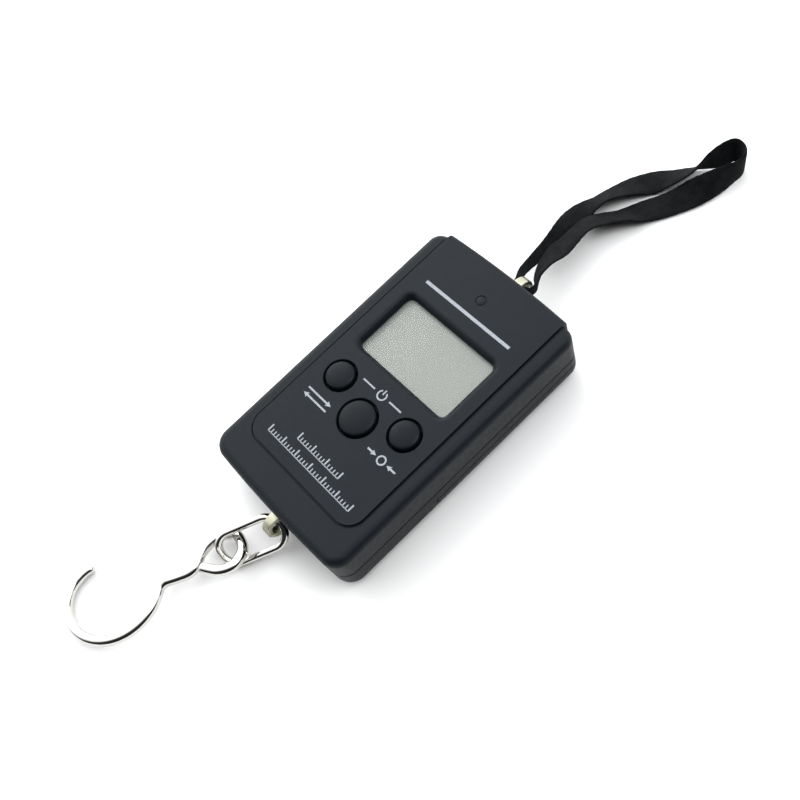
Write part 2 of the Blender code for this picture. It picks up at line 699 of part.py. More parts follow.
def contacts(material):
    half = 4.6
    for side, name in ((-1, "contact_plate_hook_left"), (1, "contact_plate_hook_right")):
        low = (side * BATTERY_X - half, PLATE_Y[0], 2.6)
        high = (side * BATTERY_X + half, PLATE_Y[1], 11.8)
        add_object(name, boxes_mesh(name, [(low, high)]), material)
    reach = BATTERY_X + half
    plate = [((-reach, BRIDGE_Y[0], 2.6), (reach, BRIDGE_Y[1], 11.8))]
    bridge = add_object("bridge_contact", boxes_mesh("bridge_contact", plate), material)
    notch = [((-3.0, BRIDGE_Y[0] - 1.0, 3.6), (3.0, BRIDGE_Y[1] + 1.0, 12.5))]
    boolean(bridge, add_object("bridge_notch", boxes_mesh("bridge_notch", notch)))


def battery_spring(name, side, low, high, material):
    """A closed-end coil between two heights along Y."""
    turns = np.linspace(0.0, SPRING_TURNS, int(SPRING_TURNS * 12) + 1)
    start, end = low + SPRING_WIRE, high - SPRING_WIRE
    points = [
        (
            side * BATTERY_X + SPRING_RADIUS * math.cos(2 * math.pi * turn),
            start + (end - start) * turn / SPRING_TURNS,
            BATTERY_Z + SPRING_RADIUS * math.sin(2 * math.pi * turn),
        )
        for turn in turns
    ]
    smooth(add_object(name, tube_mesh(name, points, SPRING_WIRE), material))


def link(material):
    """The steel ring: a stadium of wire through the load cell's eye and the hook's eye."""
    half, radius = LINK_HALF_STRAIGHT, LINK_END_RADIUS
    outline = arc((half, 0.0), radius, -90.0, 90.0, 10)
    outline += arc((-half, 0.0), radius, 90.0, 270.0, 10)
    along = Vector(LINK_LONG_AXIS).normalized()
    normal = Vector(LINK_NORMAL)
    normal = (normal - along * normal.dot(along)).normalized()
    across = normal.cross(along)
    centre = Vector(LINK_CENTRE)
    points = [centre + along * x + across * y for x, y in outline]
    ring = tube_mesh("link", points, LINK_WIRE, closed=True)
    smooth(add_object("link", ring, material, (0.0, -EYE_Y, EYE_Z)))


def hook_matrix():
    turn = Matrix.Identity(4)
    for angle, axis in zip(HOOK_TURN, "XYZ"):
        turn = turn @ Matrix.Rotation(math.radians(angle), 4, axis)
    return Matrix.Translation(HOOK_ORIGIN) @ turn


def hook_centreline():
    """Tip, small arc, bend, neck fillet and the hand-bent eye that rises off the plane."""
    big, small, neck = HOOK_BEND_RADIUS, HOOK_TIP_RADIUS, HOOK_NECK_RADIUS
    turn = math.radians(HOOK_BEND_TURN)
    inner = ((big - small) * math.cos(turn), (big - small) * math.sin(turn))
    neck_x = HOOK_SHANK_X + neck
    neck_y = math.sqrt((big + neck) ** 2 - neck_x**2)
    meeting = math.degrees(math.atan2(neck_y, neck_x))
    points = arc(inner, small, HOOK_TIP_TURN, HOOK_BEND_TURN + 360.0, 9)
    points = points[:-1] + arc((0.0, 0.0), big, HOOK_BEND_TURN, meeting, 20)
    points = points[:-1] + arc((neck_x, neck_y), neck, meeting + 180.0, 180.0, 4)
    points = [(x, y, 0.0) for x, y in points]
    eye = smooth_route((points[-1],) + HOOK_EYE_ROUTE, 38)
    return points + [tuple(point) for point in eye[1:]]


def hook(material):
    place = hook_matrix()
    points = [place @ Vector(point) for point in hook_centreline()]
    wire = tube_mesh("hook", points, HOOK_WIRE)
    smooth(add_object("hook", wire, material, HOOK_PIVOT))


def strap(material):
    """The webbing loop: a flat section swept round its route, banked as the route says."""
    rows = smooth_route(STRAP_ROUTE, STRAP_STATIONS, closed=True)
    centres = rows[:, :3]
    tangents = np.roll(centres, -1, axis=0) - np.roll(centres, 1, axis=0)
    bm = bmesh.new()
    rings = []
    for centre, tangent, (bank, half) in zip(centres, tangents, rows[:, 3:]):
        tangent = Vector(tangent).normalized()
        side = tangent.cross(Vector((0.0, 0.0, 1.0))).normalized()
        lift = side.cross(tangent)
        angle = math.radians(bank)
        width = side * math.cos(angle) + lift * math.sin(angle)
        depth = width.cross(tangent) * (STRAP_THICKNESS / 2)
        corners = ((1, 1), (-1, 1), (-1, -1), (1, -1))
        rings.append(
            [bm.verts.new(Vector(centre) + width * half * u + depth * v) for u, v in corners]
        )
    for ring, following in zip(rings, rings[1:] + rings[:1]):
        for i in range(4):
            j = (i + 1) % 4
            bm.faces.new((ring[i], ring[j], following[j], following[i]))
    bmesh.ops.recalc_face_normals(bm, faces=bm.faces)
    smooth(add_object("strap", mesh_from(bm, "strap"), material, (0.0, EYE_Y, EYE_Z)))


def build():
    shell = new_material("case_plastic", (0.042, 0.048, 0.052), 0.45)
    rubber = new_material("button_rubber", (0.012, 0.012, 0.013), 0.5)
    clear = new_material("clear_plastic", (0.75, 0.78, 0.76), 0.08)
    lcd = new_material("lcd", (0.38, 0.42, 0.35), 0.25)
    board = new_material("board", (0.03, 0.12, 0.05), 0.4)
    dark = new_material("dark_plastic", (0.02, 0.02, 0.02), 0.5)
    zinc = new_material("yellow_zinc", (0.55, 0.45, 0.22), 0.35, 1.0)
    nickel = new_material("nickel", (0.65, 0.62, 0.58), 0.3, 1.0)
    chrome = new_material("chrome", (0.8, 0.8, 0.8), 0.08, 1.0)
    wrap = new_material("battery_wrap", (0.05, 0.09, 0.16), 0.3)
    webbing = new_material("webbing", (0.012, 0.014, 0.015), 0.85)

    front_case(shell)
    rear_case(shell)
    battery_door(shell)
    display(clear, lcd, dark)
    circuit_board(board, dark)
    for name, (x, y, _, cap_radius) in BUTTONS.items():
        button(name, x, y, cap_radius, rubber)
        tact_switch(name, x, y, dark)
    screws(nickel)
    load_cell(zinc, dark, dark)
    left_low = BRIDGE_Y[0] - GAP - BATTERY_LENGTH
    right_low = PLATE_Y[1] + GAP
    battery("battery_left", -1, True, left_low, wrap)
    battery("battery_right", 1, False, right_low, wrap)
    battery_spring("battery_spring_left", -1, PLATE_Y[1] + GAP, left_low - GAP, nickel)
    right_high = right_low + BATTERY_LENGTH
    battery_spring("battery_spring_right", 1, right_high + GAP, BRIDGE_Y[0] - GAP, nickel)
    contacts(nickel)
    link(chrome)
    hook(chrome)
    strap(webbing)


build()
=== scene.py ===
"""Looks of the digital fish scale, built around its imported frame.

The scale lies on its back: +X is to the right seen from the front, +Y points at the
strap end, +Z out of the front. Lengths below are in millimetres; MM makes them metres.
"""

import math

import bmesh
import bpy
import numpy as np
from mathutils import Matrix, Vector


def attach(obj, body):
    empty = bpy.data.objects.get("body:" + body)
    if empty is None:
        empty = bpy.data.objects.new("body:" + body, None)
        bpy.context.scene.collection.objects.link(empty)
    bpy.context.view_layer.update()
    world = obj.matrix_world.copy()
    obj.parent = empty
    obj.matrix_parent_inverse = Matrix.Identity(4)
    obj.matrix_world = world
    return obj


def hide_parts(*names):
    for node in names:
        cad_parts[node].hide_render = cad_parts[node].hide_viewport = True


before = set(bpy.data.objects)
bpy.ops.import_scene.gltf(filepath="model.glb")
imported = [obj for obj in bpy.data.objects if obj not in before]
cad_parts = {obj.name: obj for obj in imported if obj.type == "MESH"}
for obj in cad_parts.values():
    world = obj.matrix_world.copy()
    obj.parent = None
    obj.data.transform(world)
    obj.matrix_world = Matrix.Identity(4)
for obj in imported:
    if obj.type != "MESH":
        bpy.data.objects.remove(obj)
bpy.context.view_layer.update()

MM = 0.001
GAP = 0.3

# Camera: place, sideways and upward directions, focal length on a 36 mm sensor.
CAMERA_PLACE = (116.73, -33.60, 237.87)
CAMERA_RIGHT = (0.6584, 0.7163, -0.2312)
CAMERA_UP = (-0.6011, 0.6853, 0.4111)
CAMERA_LENS = 44.74

# Light: places and sizes in metres. The sky fades along SKY_TURN: two stops, two strengths.
KEY_PLACE = (-0.80, 0.20, 0.62)
KEY_SIZE = (0.9, 0.9)
KEY_POWER = 6.0
FILL_PLACE = (0.45, 0.40, 1.00)
FILL_SIZE = (0.6, 0.6)
FILL_POWER = 4.0
SKY_TURN = (0.75, -0.60, -0.35)
SKY_RAMP = (-0.25, 0.30, 1.9, 0.03)
SKY_COLOUR = (0.98, 0.99, 1.0, 1.0)
FLOOR_HALF = 1.6

# Case, as in the CAD model.
CASE_HALF_WIDTH = 25.3
CASE_HOOK_END = -42.4
CASE_STRAP_END = 40.9
HOOK_END_BOW = 0.5
STRAP_END_BOW = 0.6
CASE_FRONT = 19.0
SEAM_Z = 9.5
FRONT_SEAM = SEAM_Z + GAP / 2
REAR_TOP = SEAM_Z - GAP / 2
HOOK_CORNER_RADIUS = 5.0
STRAP_CORNER_RADIUS = 4.0
FRONT_EDGE_RADIUS = 2.4
BACK_EDGE_RADIUS = 4.6
LIP = 0.22
LIP_SHARE = 0.3
WALL = 1.6
PANEL_HALF_WIDTH = 20.8
PANEL_HOOK_END = -33.1
PANEL_STRAP_END = 41.65
PANEL_EDGE_RADIUS = 1.5
PANEL_FRONT = 19.5
PANEL_CORNER_RADIUS = 5.0
PANEL_FAR_CORNER = 0.3
LEAST_CORNER = 0.2
PANEL_EDGE = 0.14
PANEL_LIFT = 0.02
GROOVE_WIDTH = 0.45
GROOVE_DEPTH = 0.35
GROOVE_FLARE = 0.12
GROOVE_EASE = (-0.1, 0.02)
INNER_FRONT = 17.5
INNER_SIDE = CASE_HALF_WIDTH - WALL
RECESS_HALF_WIDTH = 8.0
RECESS_FLOOR = -41.0
RECESS_Z = (2.6, 14.2)
RECESS_LAP = 0.7
LAP = 0.5
SEAM_LAP = 0.1
CORNER_STEPS = 16
BOW_STEPS = 24
EDGE_STEPS = 10
FACE_AREA_WEIGHT = 80
HOLLOW_STEPS = 6

# Reach of cutting solids beyond what they cut.
PAST_END = 45.0
PAST_SIDE = 30.0
ABOVE = 25.0
BELOW = -1.0

# Battery bay in the rear case, right half, and the door.
BULKHEAD = 1.5
BAY_LAP = 0.3
BAY_SIDE_X = (21.6, 23.0)
BAY_SIDE_END = 36.0
BAY_LEDGE_Z = 4.2
SHELF_END = 39.8
SHELF_CORNER = (15.3, 31.0)
DOOR_HOOK_EDGE = -11.4
DOOR_TOP = 6.4
DOOR_LIP = 0.12
NOTCH = ((-8.0, 36.0, 3.6), (8.0, 45.0, 12.0))
RIB_HALF = (7.0, 0.35)
RIB_DEPTH = 0.35
RIB_ROWS = (-7.0, 0.5, 1.4)
SLIDE_ARROW = ((-2.2, 3.0), (2.2, 3.0), (0.0, 6.6))
SLIDE_ARROW_DEPTH = 0.3

# Display window: how far its wall stands outside the clear area at each height.
WINDOW_CENTRE_Y = 12.05
WINDOW_HALF = (15.8, 9.35)
WINDOW_CORNER = 1.6
WINDOW_WALL = (
    (0.0, 16.5), (0.0, 17.95), (0.26, 18.35), (0.54, 18.75), (0.78, 19.03),
    (1.04, 19.25), (1.34, 19.4), (1.66, 19.48), (1.92, 19.52), (1.92, 20.5),
)
LENS_HALF = (17.4, 11.0)
LENS_Z = (17.0, 17.6)
LENS_CORNER = 0.7
LENS_CHAMFER = 0.1
POCKET_CORNER = 1.0
LCD_HALF = (17.3, 11.65)
LCD_Z = (14.9, 16.6)
LCD_CORNER = 0.4
LCD_CHAMFER = 0.05

# Buttons: x, y, hole radius, cap radius.
BUTTONS = {
    "unit": (-12.4, -6.7, 4.6, 4.2),
    "power": (0.0, -11.65, 5.5, 5.1),
    "tare": (12.4, -6.7, 4.6, 4.2),
}
BUTTON_TOP = 20.5
BUTTON_SHOULDER = 19.5
CAP_SLIMMING = 0.28
DOME_ANGLES = (6.0, 90.0, 22)
DOME_POWERS = (0.9, 0.75)
SKIRT_DROP = 0.9
FLANGE_Z = (16.5, 17.2)
FLANGE_FILLET = 0.4
FLANGE_MARGIN = 0.8
FOOT_RADIUS = 1.5
FOOT_Z = 16.3
DOT_Y = 32.1
DOT_RADIUS = 1.5

# Rims as (outwards, upwards) from a radius and a level.
HOLE_Z = (15.0, 22.0)
HOLE_RIM = ((0.3, 0.02), (0.1, -0.1), (0.0, -0.3))
DOT_DEPTH = 0.3
DOT_RIM = ((-0.32, -0.06), (-0.22, -0.12), (-0.2, -0.29))

# Screws with their bosses and bores as (radius, low, high), and the load cell.
HOOK_SCREWS = ((-19.0, -34.5), (19.0, -34.5))
STRAP_SCREWS = ((-18.8, 33.5), (18.8, 33.5))
SCREW_HEAD_RADIUS = 2.4
SCREW_SHANK_RADIUS = 1.3
SCREW_POINT_RADIUS = 0.65
SCREW_POINT = 0.8
SCREW_TIP = 15.0
HOOK_SCREW_BOTTOM = 2.4
STRAP_SCREW_BOTTOM = 4.8
HEAD_HEIGHT = 1.3
HEAD_DOME = ((1.0, 0.7), (0.93, 0.35), (0.7, 0.08), (0.3, 0.0))
CROSS_HALF = (1.3, 0.25)
CROSS_DEPTH = 0.8
BOSS = (3.8, 1.1, 6.5)
BORE = (2.8, 0.25, 4.0)
BORE_MOUTH = 3.05
SCREW_HOLE = (1.6, 3.0, 12.0)
EYE_Y = 43.8
EYE_Z = 8.3
EYE_RADIUS = 4.2
EYE_HOLE_RADIUS = 2.6
EYE_RIM = ((1.1, 0.7), (0.4, 0.0), (0.12, -0.16), (0.0, -0.45))
CELL_HALF_THICKNESS = 1.3
CELL_EDGE = ((0.3, 0.0), (0.09, 0.09), (0.0, 0.3))
WEB_BORE_Y = 3.4
WEB_BORE_RADIUS = 1.7
WEB_SLOT_HALF = 0.5
PLATE_CUT = 2.0
TONGUE_GAP = (0.5, 0.2)

# Ring and hook, as in the CAD model.
LINK_HALF_STRAIGHT = 5.0
LINK_END_RADIUS = 4.5
LINK_WIRE = 1.05
LINK_CENTRE = (-3.08, -52.05, 5.24)
LINK_LONG_AXIS = (0.466, 0.861, 0.204)
LINK_NORMAL = (0.504, -0.447, 0.739)
LINK_STEPS = (48, 22)
HOOK_WIRE = 1.5
HOOK_BEND_RADIUS = 13.7
HOOK_TIP_RADIUS = 9.2
HOOK_NECK_RADIUS = 3.0
HOOK_SHANK_X = 3.0
HOOK_BEND_TURN = -79.4
HOOK_TIP_TURN = 183.0
HOOK_EYE_ROUTE = (
    (3.1, 19.2, 0.0), (2.9, 22.0, 0.0), (1.7, 24.0, 0.0), (-0.9, 25.6, 0.0),
    (-2.9, 27.9, 0.0), (-3.95, 30.6, 0.0), (-4.1, 33.4, 0.15), (-3.1, 36.0, 0.45),
    (-1.22, 37.31, 0.8), (2.68, 37.77, 1.3), (6.08, 35.09, 1.8), (6.45, 31.29, 2.2),
    (4.94, 28.1, 2.45), (3.69, 26.27, 2.5),
)
HOOK_ORIGIN = (-22.31, -87.79, 2.64)
HOOK_TURN = (-1.06, -6.04, -27.56)
TIP_SHARE = 0.72
TIP_LENGTH = 5.0
END_ROUNDING = 0.9
END_SHARE = 0.02
TIP_STEPS = 30
BEND_STEPS = 70
NECK_STEPS = 14
EYE_STATIONS = 110
HOOK_STATIONS = 320
WIRE_SIDES = 28
CURVE_STEPS = 24

# Strap. A selvedge wanders in waves of (size, waves once round, shift); the route is
# (x, y, z, bank, half width), once round from the eye and back to it.
STRAP_THICKNESS = 0.9
STRAP_STATIONS = 520
SECTION_STEPS = 12
SECTION_POWER = 6
SELVEDGE_HALF = 0.02
LEFT_SELVEDGE = ((0.012, 23, 0.0), (0.010, 61, 1.3))
RIGHT_SELVEDGE = ((0.012, 19, 2.0), (0.010, 67, 0.0))
STRAP_ROUTE = (
    (0.0, 44.2, 8.3, 90, 1.9), (-1.9, 44.5, 8.3, 90, 1.9), (-2.7, 46.2, 8.0, 94, 2.0),
    (-4.6, 49.6, 6.6, 96, 2.0), (-5.6, 54.7, 5.2, 104, 2.2), (-6.2, 60.2, 3.9, 116, 2.6),
    (-7.1, 66.6, 2.8, 136, 3.0), (-8.0, 72.6, 1.5, 172, 3.4), (-7.7, 76.1, 1.5, 188, 3.6),
    (-6.3, 80.3, 2.8, 214, 3.8), (-5.0, 84.8, 2.6, 212, 3.8), (-2.6, 90.2, 1.8, 196, 3.8),
    (0.5, 95.2, 0.9, 180, 3.8), (4.2, 99.3, 2.1, 202, 3.8), (7.3, 103.5, 3.4, 226, 3.8),
    (9.5, 108.3, 4.3, 268, 3.8), (11.0, 112.3, 4.3, 288, 3.8), (12.6, 115.2, 4.3, 286, 3.8),
    (15.7, 114.8, 4.3, 276, 3.8), (17.4, 112.1, 4.3, 268, 3.8), (16.7, 108.4, 4.3, 258, 3.8),
    (14.8, 103.7, 3.7, 234, 3.8), (12.1, 98.7, 2.3, 204, 3.8), (9.3, 93.5, 1.1, 184, 3.8),
    (6.3, 88.6, 0.9, 178, 3.8), (4.1, 84.5, 1.6, 166, 3.8), (2.1, 80.9, 2.8, 150, 3.8),
    (-0.4, 76.8, 3.9, 152, 3.8), (-1.9, 73.0, 4.9, 152, 3.8), (-2.2, 68.9, 5.6, 148, 3.7),
    (-1.8, 64.7, 6.2, 152, 3.8), (-1.3, 60.1, 7.1, 160, 3.6), (-0.8, 55.3, 8.0, 150, 2.8),
    (0.6, 50.8, 8.6, 130, 2.0), (2.7, 47.6, 8.6, 95, 1.8), (1.9, 44.7, 8.4, 90, 1.9),
)

# Weave of the strap and colour band of the cells, in metres.
WALES = 11.0
PICK_LENGTH = 0.00062
SLEEVE_BAND = (0.0235, 0.0237)
RANGE_SOCKETS = ("From Min", "From Max", "To Min", "To Max")

# Printed marks on the panel; a row of ticks is (first x, last x, y).
INK_Z = (19.47, 19.53)
LINE_Y = 27.0
LINE_HALF_LENGTH = 15.25
LINE_WIDTH = 0.9
ARROW_WIDTH = 0.5
SWAP_ARROWS = (((-16.4, -14.3), (-7.6, -14.3)), ((-7.6, -16.1), (-16.4, -16.1)))
SWAP_HEAD = 1.5
POWER_CENTRE = (0.15, -3.2)
POWER_RADIUS = 1.3
POWER_WIDTH = 0.42
POWER_OPENING = (125.0, 415.0)
POWER_STEM = ((0.15, -3.0), (0.15, -1.5))
POWER_DASHES = (((-7.0, -3.2), (-2.6, -3.2)), ((2.9, -3.2), (7.3, -3.2)))
DASH_WIDTH = 0.45
ZERO_CENTRE = (13.0, -15.1)
ZERO_RADIUS = 1.15
ZERO_ARROWS = (((7.9, -15.1), (11.0, -15.1)), ((18.1, -15.1), (15.0, -15.1)))
ZERO_HEAD = 1.4
TICK_ROWS = ((-7.6, 8.3, -24.7), (-15.3, 16.5, -28.4))
TICK_PITCH = 1.06
TICK_HEIGHT = 1.1
TICK_BASE_WIDTH = 0.22
LONG_TICK = (0.9, 0.42)
SHORT_TICK = (0.1, 0.3)
TICKS_PER_LONG = 5


# ---- geometry helpers


def arc(centre, radius, start, end, steps):
    """Points along an arc, in degrees, both ends included."""
    return [
        (centre[0] + radius * math.cos(a), centre[1] + radius * math.sin(a))
        for a in np.radians(np.linspace(start, end, steps + 1))
    ]


def bowed_end(half, edge, bow):
    """The points between the corners of an end that bows outwards, from -X to +X."""
    stops = np.linspace(-half, half, BOW_STEPS + 1)[1:-1] if bow else []
    return [(x, edge + bow * (1.0 - (x / half) ** 2)) for x in stops]


def rounded_outline(
    half_width, low, high, low_radius, high_radius, low_bow=0.0, high_bow=0.0, steps=CORNER_STEPS
):
    """Anticlockwise outline symmetric about x = 0, each end with its own corners and bow."""
    points = []
    corners = (
        (1, low, low_radius, -90.0), (1, high, high_radius, 0.0),
        (-1, high, high_radius, 90.0), (-1, low, low_radius, 180.0),
    )
    for side, edge, radius, start in corners:
        inward = radius if edge == low else -radius
        centre = (side * (half_width - radius), edge + inward)
        points += arc(centre, radius, start, start + 90.0, steps)
        if (side, edge) == (1, high):
            points += bowed_end(half_width - radius, edge, high_bow)[::-1]
    return points + bowed_end(half_width - low_radius, low, -low_bow)


def case_outline(inset=0.0):
    return rounded_outline(
        CASE_HALF_WIDTH - inset, CASE_HOOK_END + inset, CASE_STRAP_END - inset,
        HOOK_CORNER_RADIUS - inset, max(STRAP_CORNER_RADIUS - inset, LEAST_CORNER),
        HOOK_END_BOW, STRAP_END_BOW,
    )


def panel_outline(margin=0.0, strap_end=PANEL_STRAP_END):
    return rounded_outline(
        PANEL_HALF_WIDTH + margin, PANEL_HOOK_END - margin, strap_end,
        PANEL_CORNER_RADIUS + margin, PANEL_FAR_CORNER, high_bow=STRAP_END_BOW,
    )


def window_outline(half, corner, grow=0.0):
    outline = rounded_outline(
        half[0] + grow, -half[1] - grow, half[1] + grow, corner + grow, corner + grow,
        steps=EDGE_STEPS,
    )
    return [(x, y + WINDOW_CENTRE_Y) for x, y in outline]


def new_object(name, data):
    obj = bpy.data.objects.new(name, data)
    bpy.context.scene.collection.objects.link(obj)
    return obj


def mesh_from(bm):
    mesh = bpy.data.meshes.new("mesh")
    bm.to_mesh(mesh)
    bm.free()
    return mesh


def loft_mesh(rings, closed=False):
    """Skin rings of equal count, with flat caps unless the row of rings closes on itself."""
    bm = bmesh.new()
    rows = [[bm.verts.new(point) for point in ring] for ring in rings]
    pairs = list(zip(rows, rows[1:]))
    if closed:
        pairs.append((rows[-1], rows[0]))
    for row, following in pairs:
        for i in range(len(row)):
            j = (i + 1) % len(row)
            bm.faces.new((row[i], row[j], following[j], following[i]))
    if not closed:
        bm.faces.new(rows[0])
        bm.faces.new(rows[-1])
    bmesh.ops.recalc_face_normals(bm, faces=bm.faces)
    return mesh_from(bm)


def slab_mesh(rows):
    """Loft outlines standing at heights: rows are (outline, z)."""
    return loft_mesh([[(x, y, z) for x, y in outline] for outline, z in rows])


def boxes_mesh(boxes):
    """One mesh of axis-aligned boxes, each given by its lowest and highest corner."""
    bm = bmesh.new()
    for low, high in boxes:
        size = Vector(high) - Vector(low)
        place = Matrix.Translation((Vector(low) + Vector(high)) / 2)
        bmesh.ops.create_cube(bm, size=1.0, matrix=place @ Matrix.Diagonal((*size, 1.0)))
    return mesh_from(bm)


def turned_mesh(profile, steps, place, turn=None):
    """A solid turned about Z from a (radius, z) profile that starts and ends at radius 0."""
    bm = bmesh.new()
    poles = [bm.verts.new((0.0, 0.0, z)) for _, z in (profile[0], profile[-1])]
    angles = np.linspace(0.0, 2 * math.pi, steps, endpoint=False)
    rows = [
        [bm.verts.new((r * math.cos(a), r * math.sin(a), z)) for a in angles]
        for r, z in profile[1:-1]
    ]
    for row, following in zip(rows, rows[1:]):
        for i in range(steps):
            j = (i + 1) % steps
            bm.faces.new((row[i], row[j], following[j], following[i]))
    for i in range(steps):
        j = (i + 1) % steps
        bm.faces.new((poles[0], rows[0][i], rows[0][j]))
        bm.faces.new((poles[1], rows[-1][j], rows[-1][i]))
    bmesh.ops.recalc_face_normals(bm, faces=bm.faces)
    mesh = mesh_from(bm)
    if turn is not None:
        mesh.transform(turn)
    mesh.transform(Matrix.Translation(place))
    return mesh


def joined(meshes):
    """One mesh that holds several."""
    bm = bmesh.new()
    for mesh in meshes:
        bm.from_mesh(mesh)
        bpy.data.meshes.remove(mesh)
    return mesh_from(bm)


def cut(mesh):
    """Boolean step: take a solid away."""
    return "DIFFERENCE", mesh


def add(mesh):
    """Boolean step: join a solid on."""
    return "UNION", mesh


def carved(mesh, steps):
    """Apply Boolean steps and return the new mesh."""
    target = new_object("target", mesh)
    tools = []
    for operation, tool_mesh in steps:
        tool = new_object("tool", tool_mesh)
        modifier = target.modifiers.new("step", "BOOLEAN")
        modifier.operation = operation
        modifier.object = tool
        modifier.solver = "EXACT"
        tools.append(tool)
    graph = bpy.context.evaluated_depsgraph_get()
    result = bpy.data.meshes.new_from_object(target.evaluated_get(graph))
    for obj in [target, *tools]:
        data = obj.data
        bpy.data.objects.remove(obj, do_unlink=True)
        bpy.data.meshes.remove(data)
    return result


def sweep_mesh(points, radii, closed=False):
    """A round wire along points, its frame carried along without twist."""
    points = [Vector(p) for p in points]
    count = len(points)
    tangents = []
    for i in range(count):
        before = points[i - 1] if closed or i else points[i]
        after = points[(i + 1) % count] if closed or i + 1 < count else points[i]
        tangents.append((after - before).normalized())
    normal = tangents[0].orthogonal().normalized()
    rings = []
    for point, tangent, radius in zip(points, tangents, radii):
        normal = (normal - tangent * normal.dot(tangent)).normalized()
        across = tangent.cross(normal)
        rings.append([
            point + (normal * math.cos(a) + across * math.sin(a)) * radius
            for a in np.linspace(0.0, 2 * math.pi, WIRE_SIDES, endpoint=False)
        ])
    return loft_mesh(rings, closed)


def smooth_route(points, samples, closed=False):
    """Evenly spaced rows read from a Catmull-Rom curve through rows of numbers."""
    rows = np.array(points, float)
    if closed:
        rows = np.vstack((rows[-1:], rows, rows[:2]))
    else:
        rows = np.vstack((2 * rows[0] - rows[1], rows, 2 * rows[-1] - rows[-2]))
    dense = []
    for before, start, end, after in zip(rows, rows[1:], rows[2:], rows[3:]):
        for t in np.linspace(0.0, 1.0, CURVE_STEPS, endpoint=False):
            dense.append(
                0.5 * (2 * start + (end - before) * t
                       + (2 * before - 5 * start + 4 * end - after) * t**2
                       + (3 * start - before - 3 * end + after) * t**3)
            )
    dense.append(dense[0] if closed else rows[-2])
    dense = np.array(dense)
    steps = np.linalg.norm(np.diff(dense[:, :3], axis=0), axis=1)
    travelled = np.concatenate(([0.0], np.cumsum(steps)))
    stops = np.linspace(0.0, travelled[-1], samples, endpoint=not closed)
    return np.array([np.interp(stops, travelled, column) for column in dense.T]).T


def turned_at(places, profile, steps):
    return joined([turned_mesh(profile, steps, (x, y, 0.0)) for x, y in places])


def rim(radius, level, offsets):
    """Profile points at (outwards, upwards) offsets from a radius and a level."""
    return [(radius + out, level + up) for out, up in offsets]


def add_piece(name, mesh, material, body, nodes=(), sharp=32.0, weighted=True):
    """Link a mesh drawn in millimetres as a finished piece that rides on a CAD body."""
    mesh.transform(Matrix.Scale(MM, 4))
    mesh.name = name
    obj = new_object(name, mesh)
    mesh.materials.append(MATERIALS[material])
    mesh.shade_smooth()
    mesh.set_sharp_from_angle(angle=math.radians(sharp))
    if weighted:
        modifier = obj.modifiers.new("weighted_normals", "WEIGHTED_NORMAL")
        modifier.keep_sharp = True
        modifier.weight = FACE_AREA_WEIGHT
    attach(obj, body)
    if nodes:
        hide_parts(*nodes)
    return obj


# ---- materials


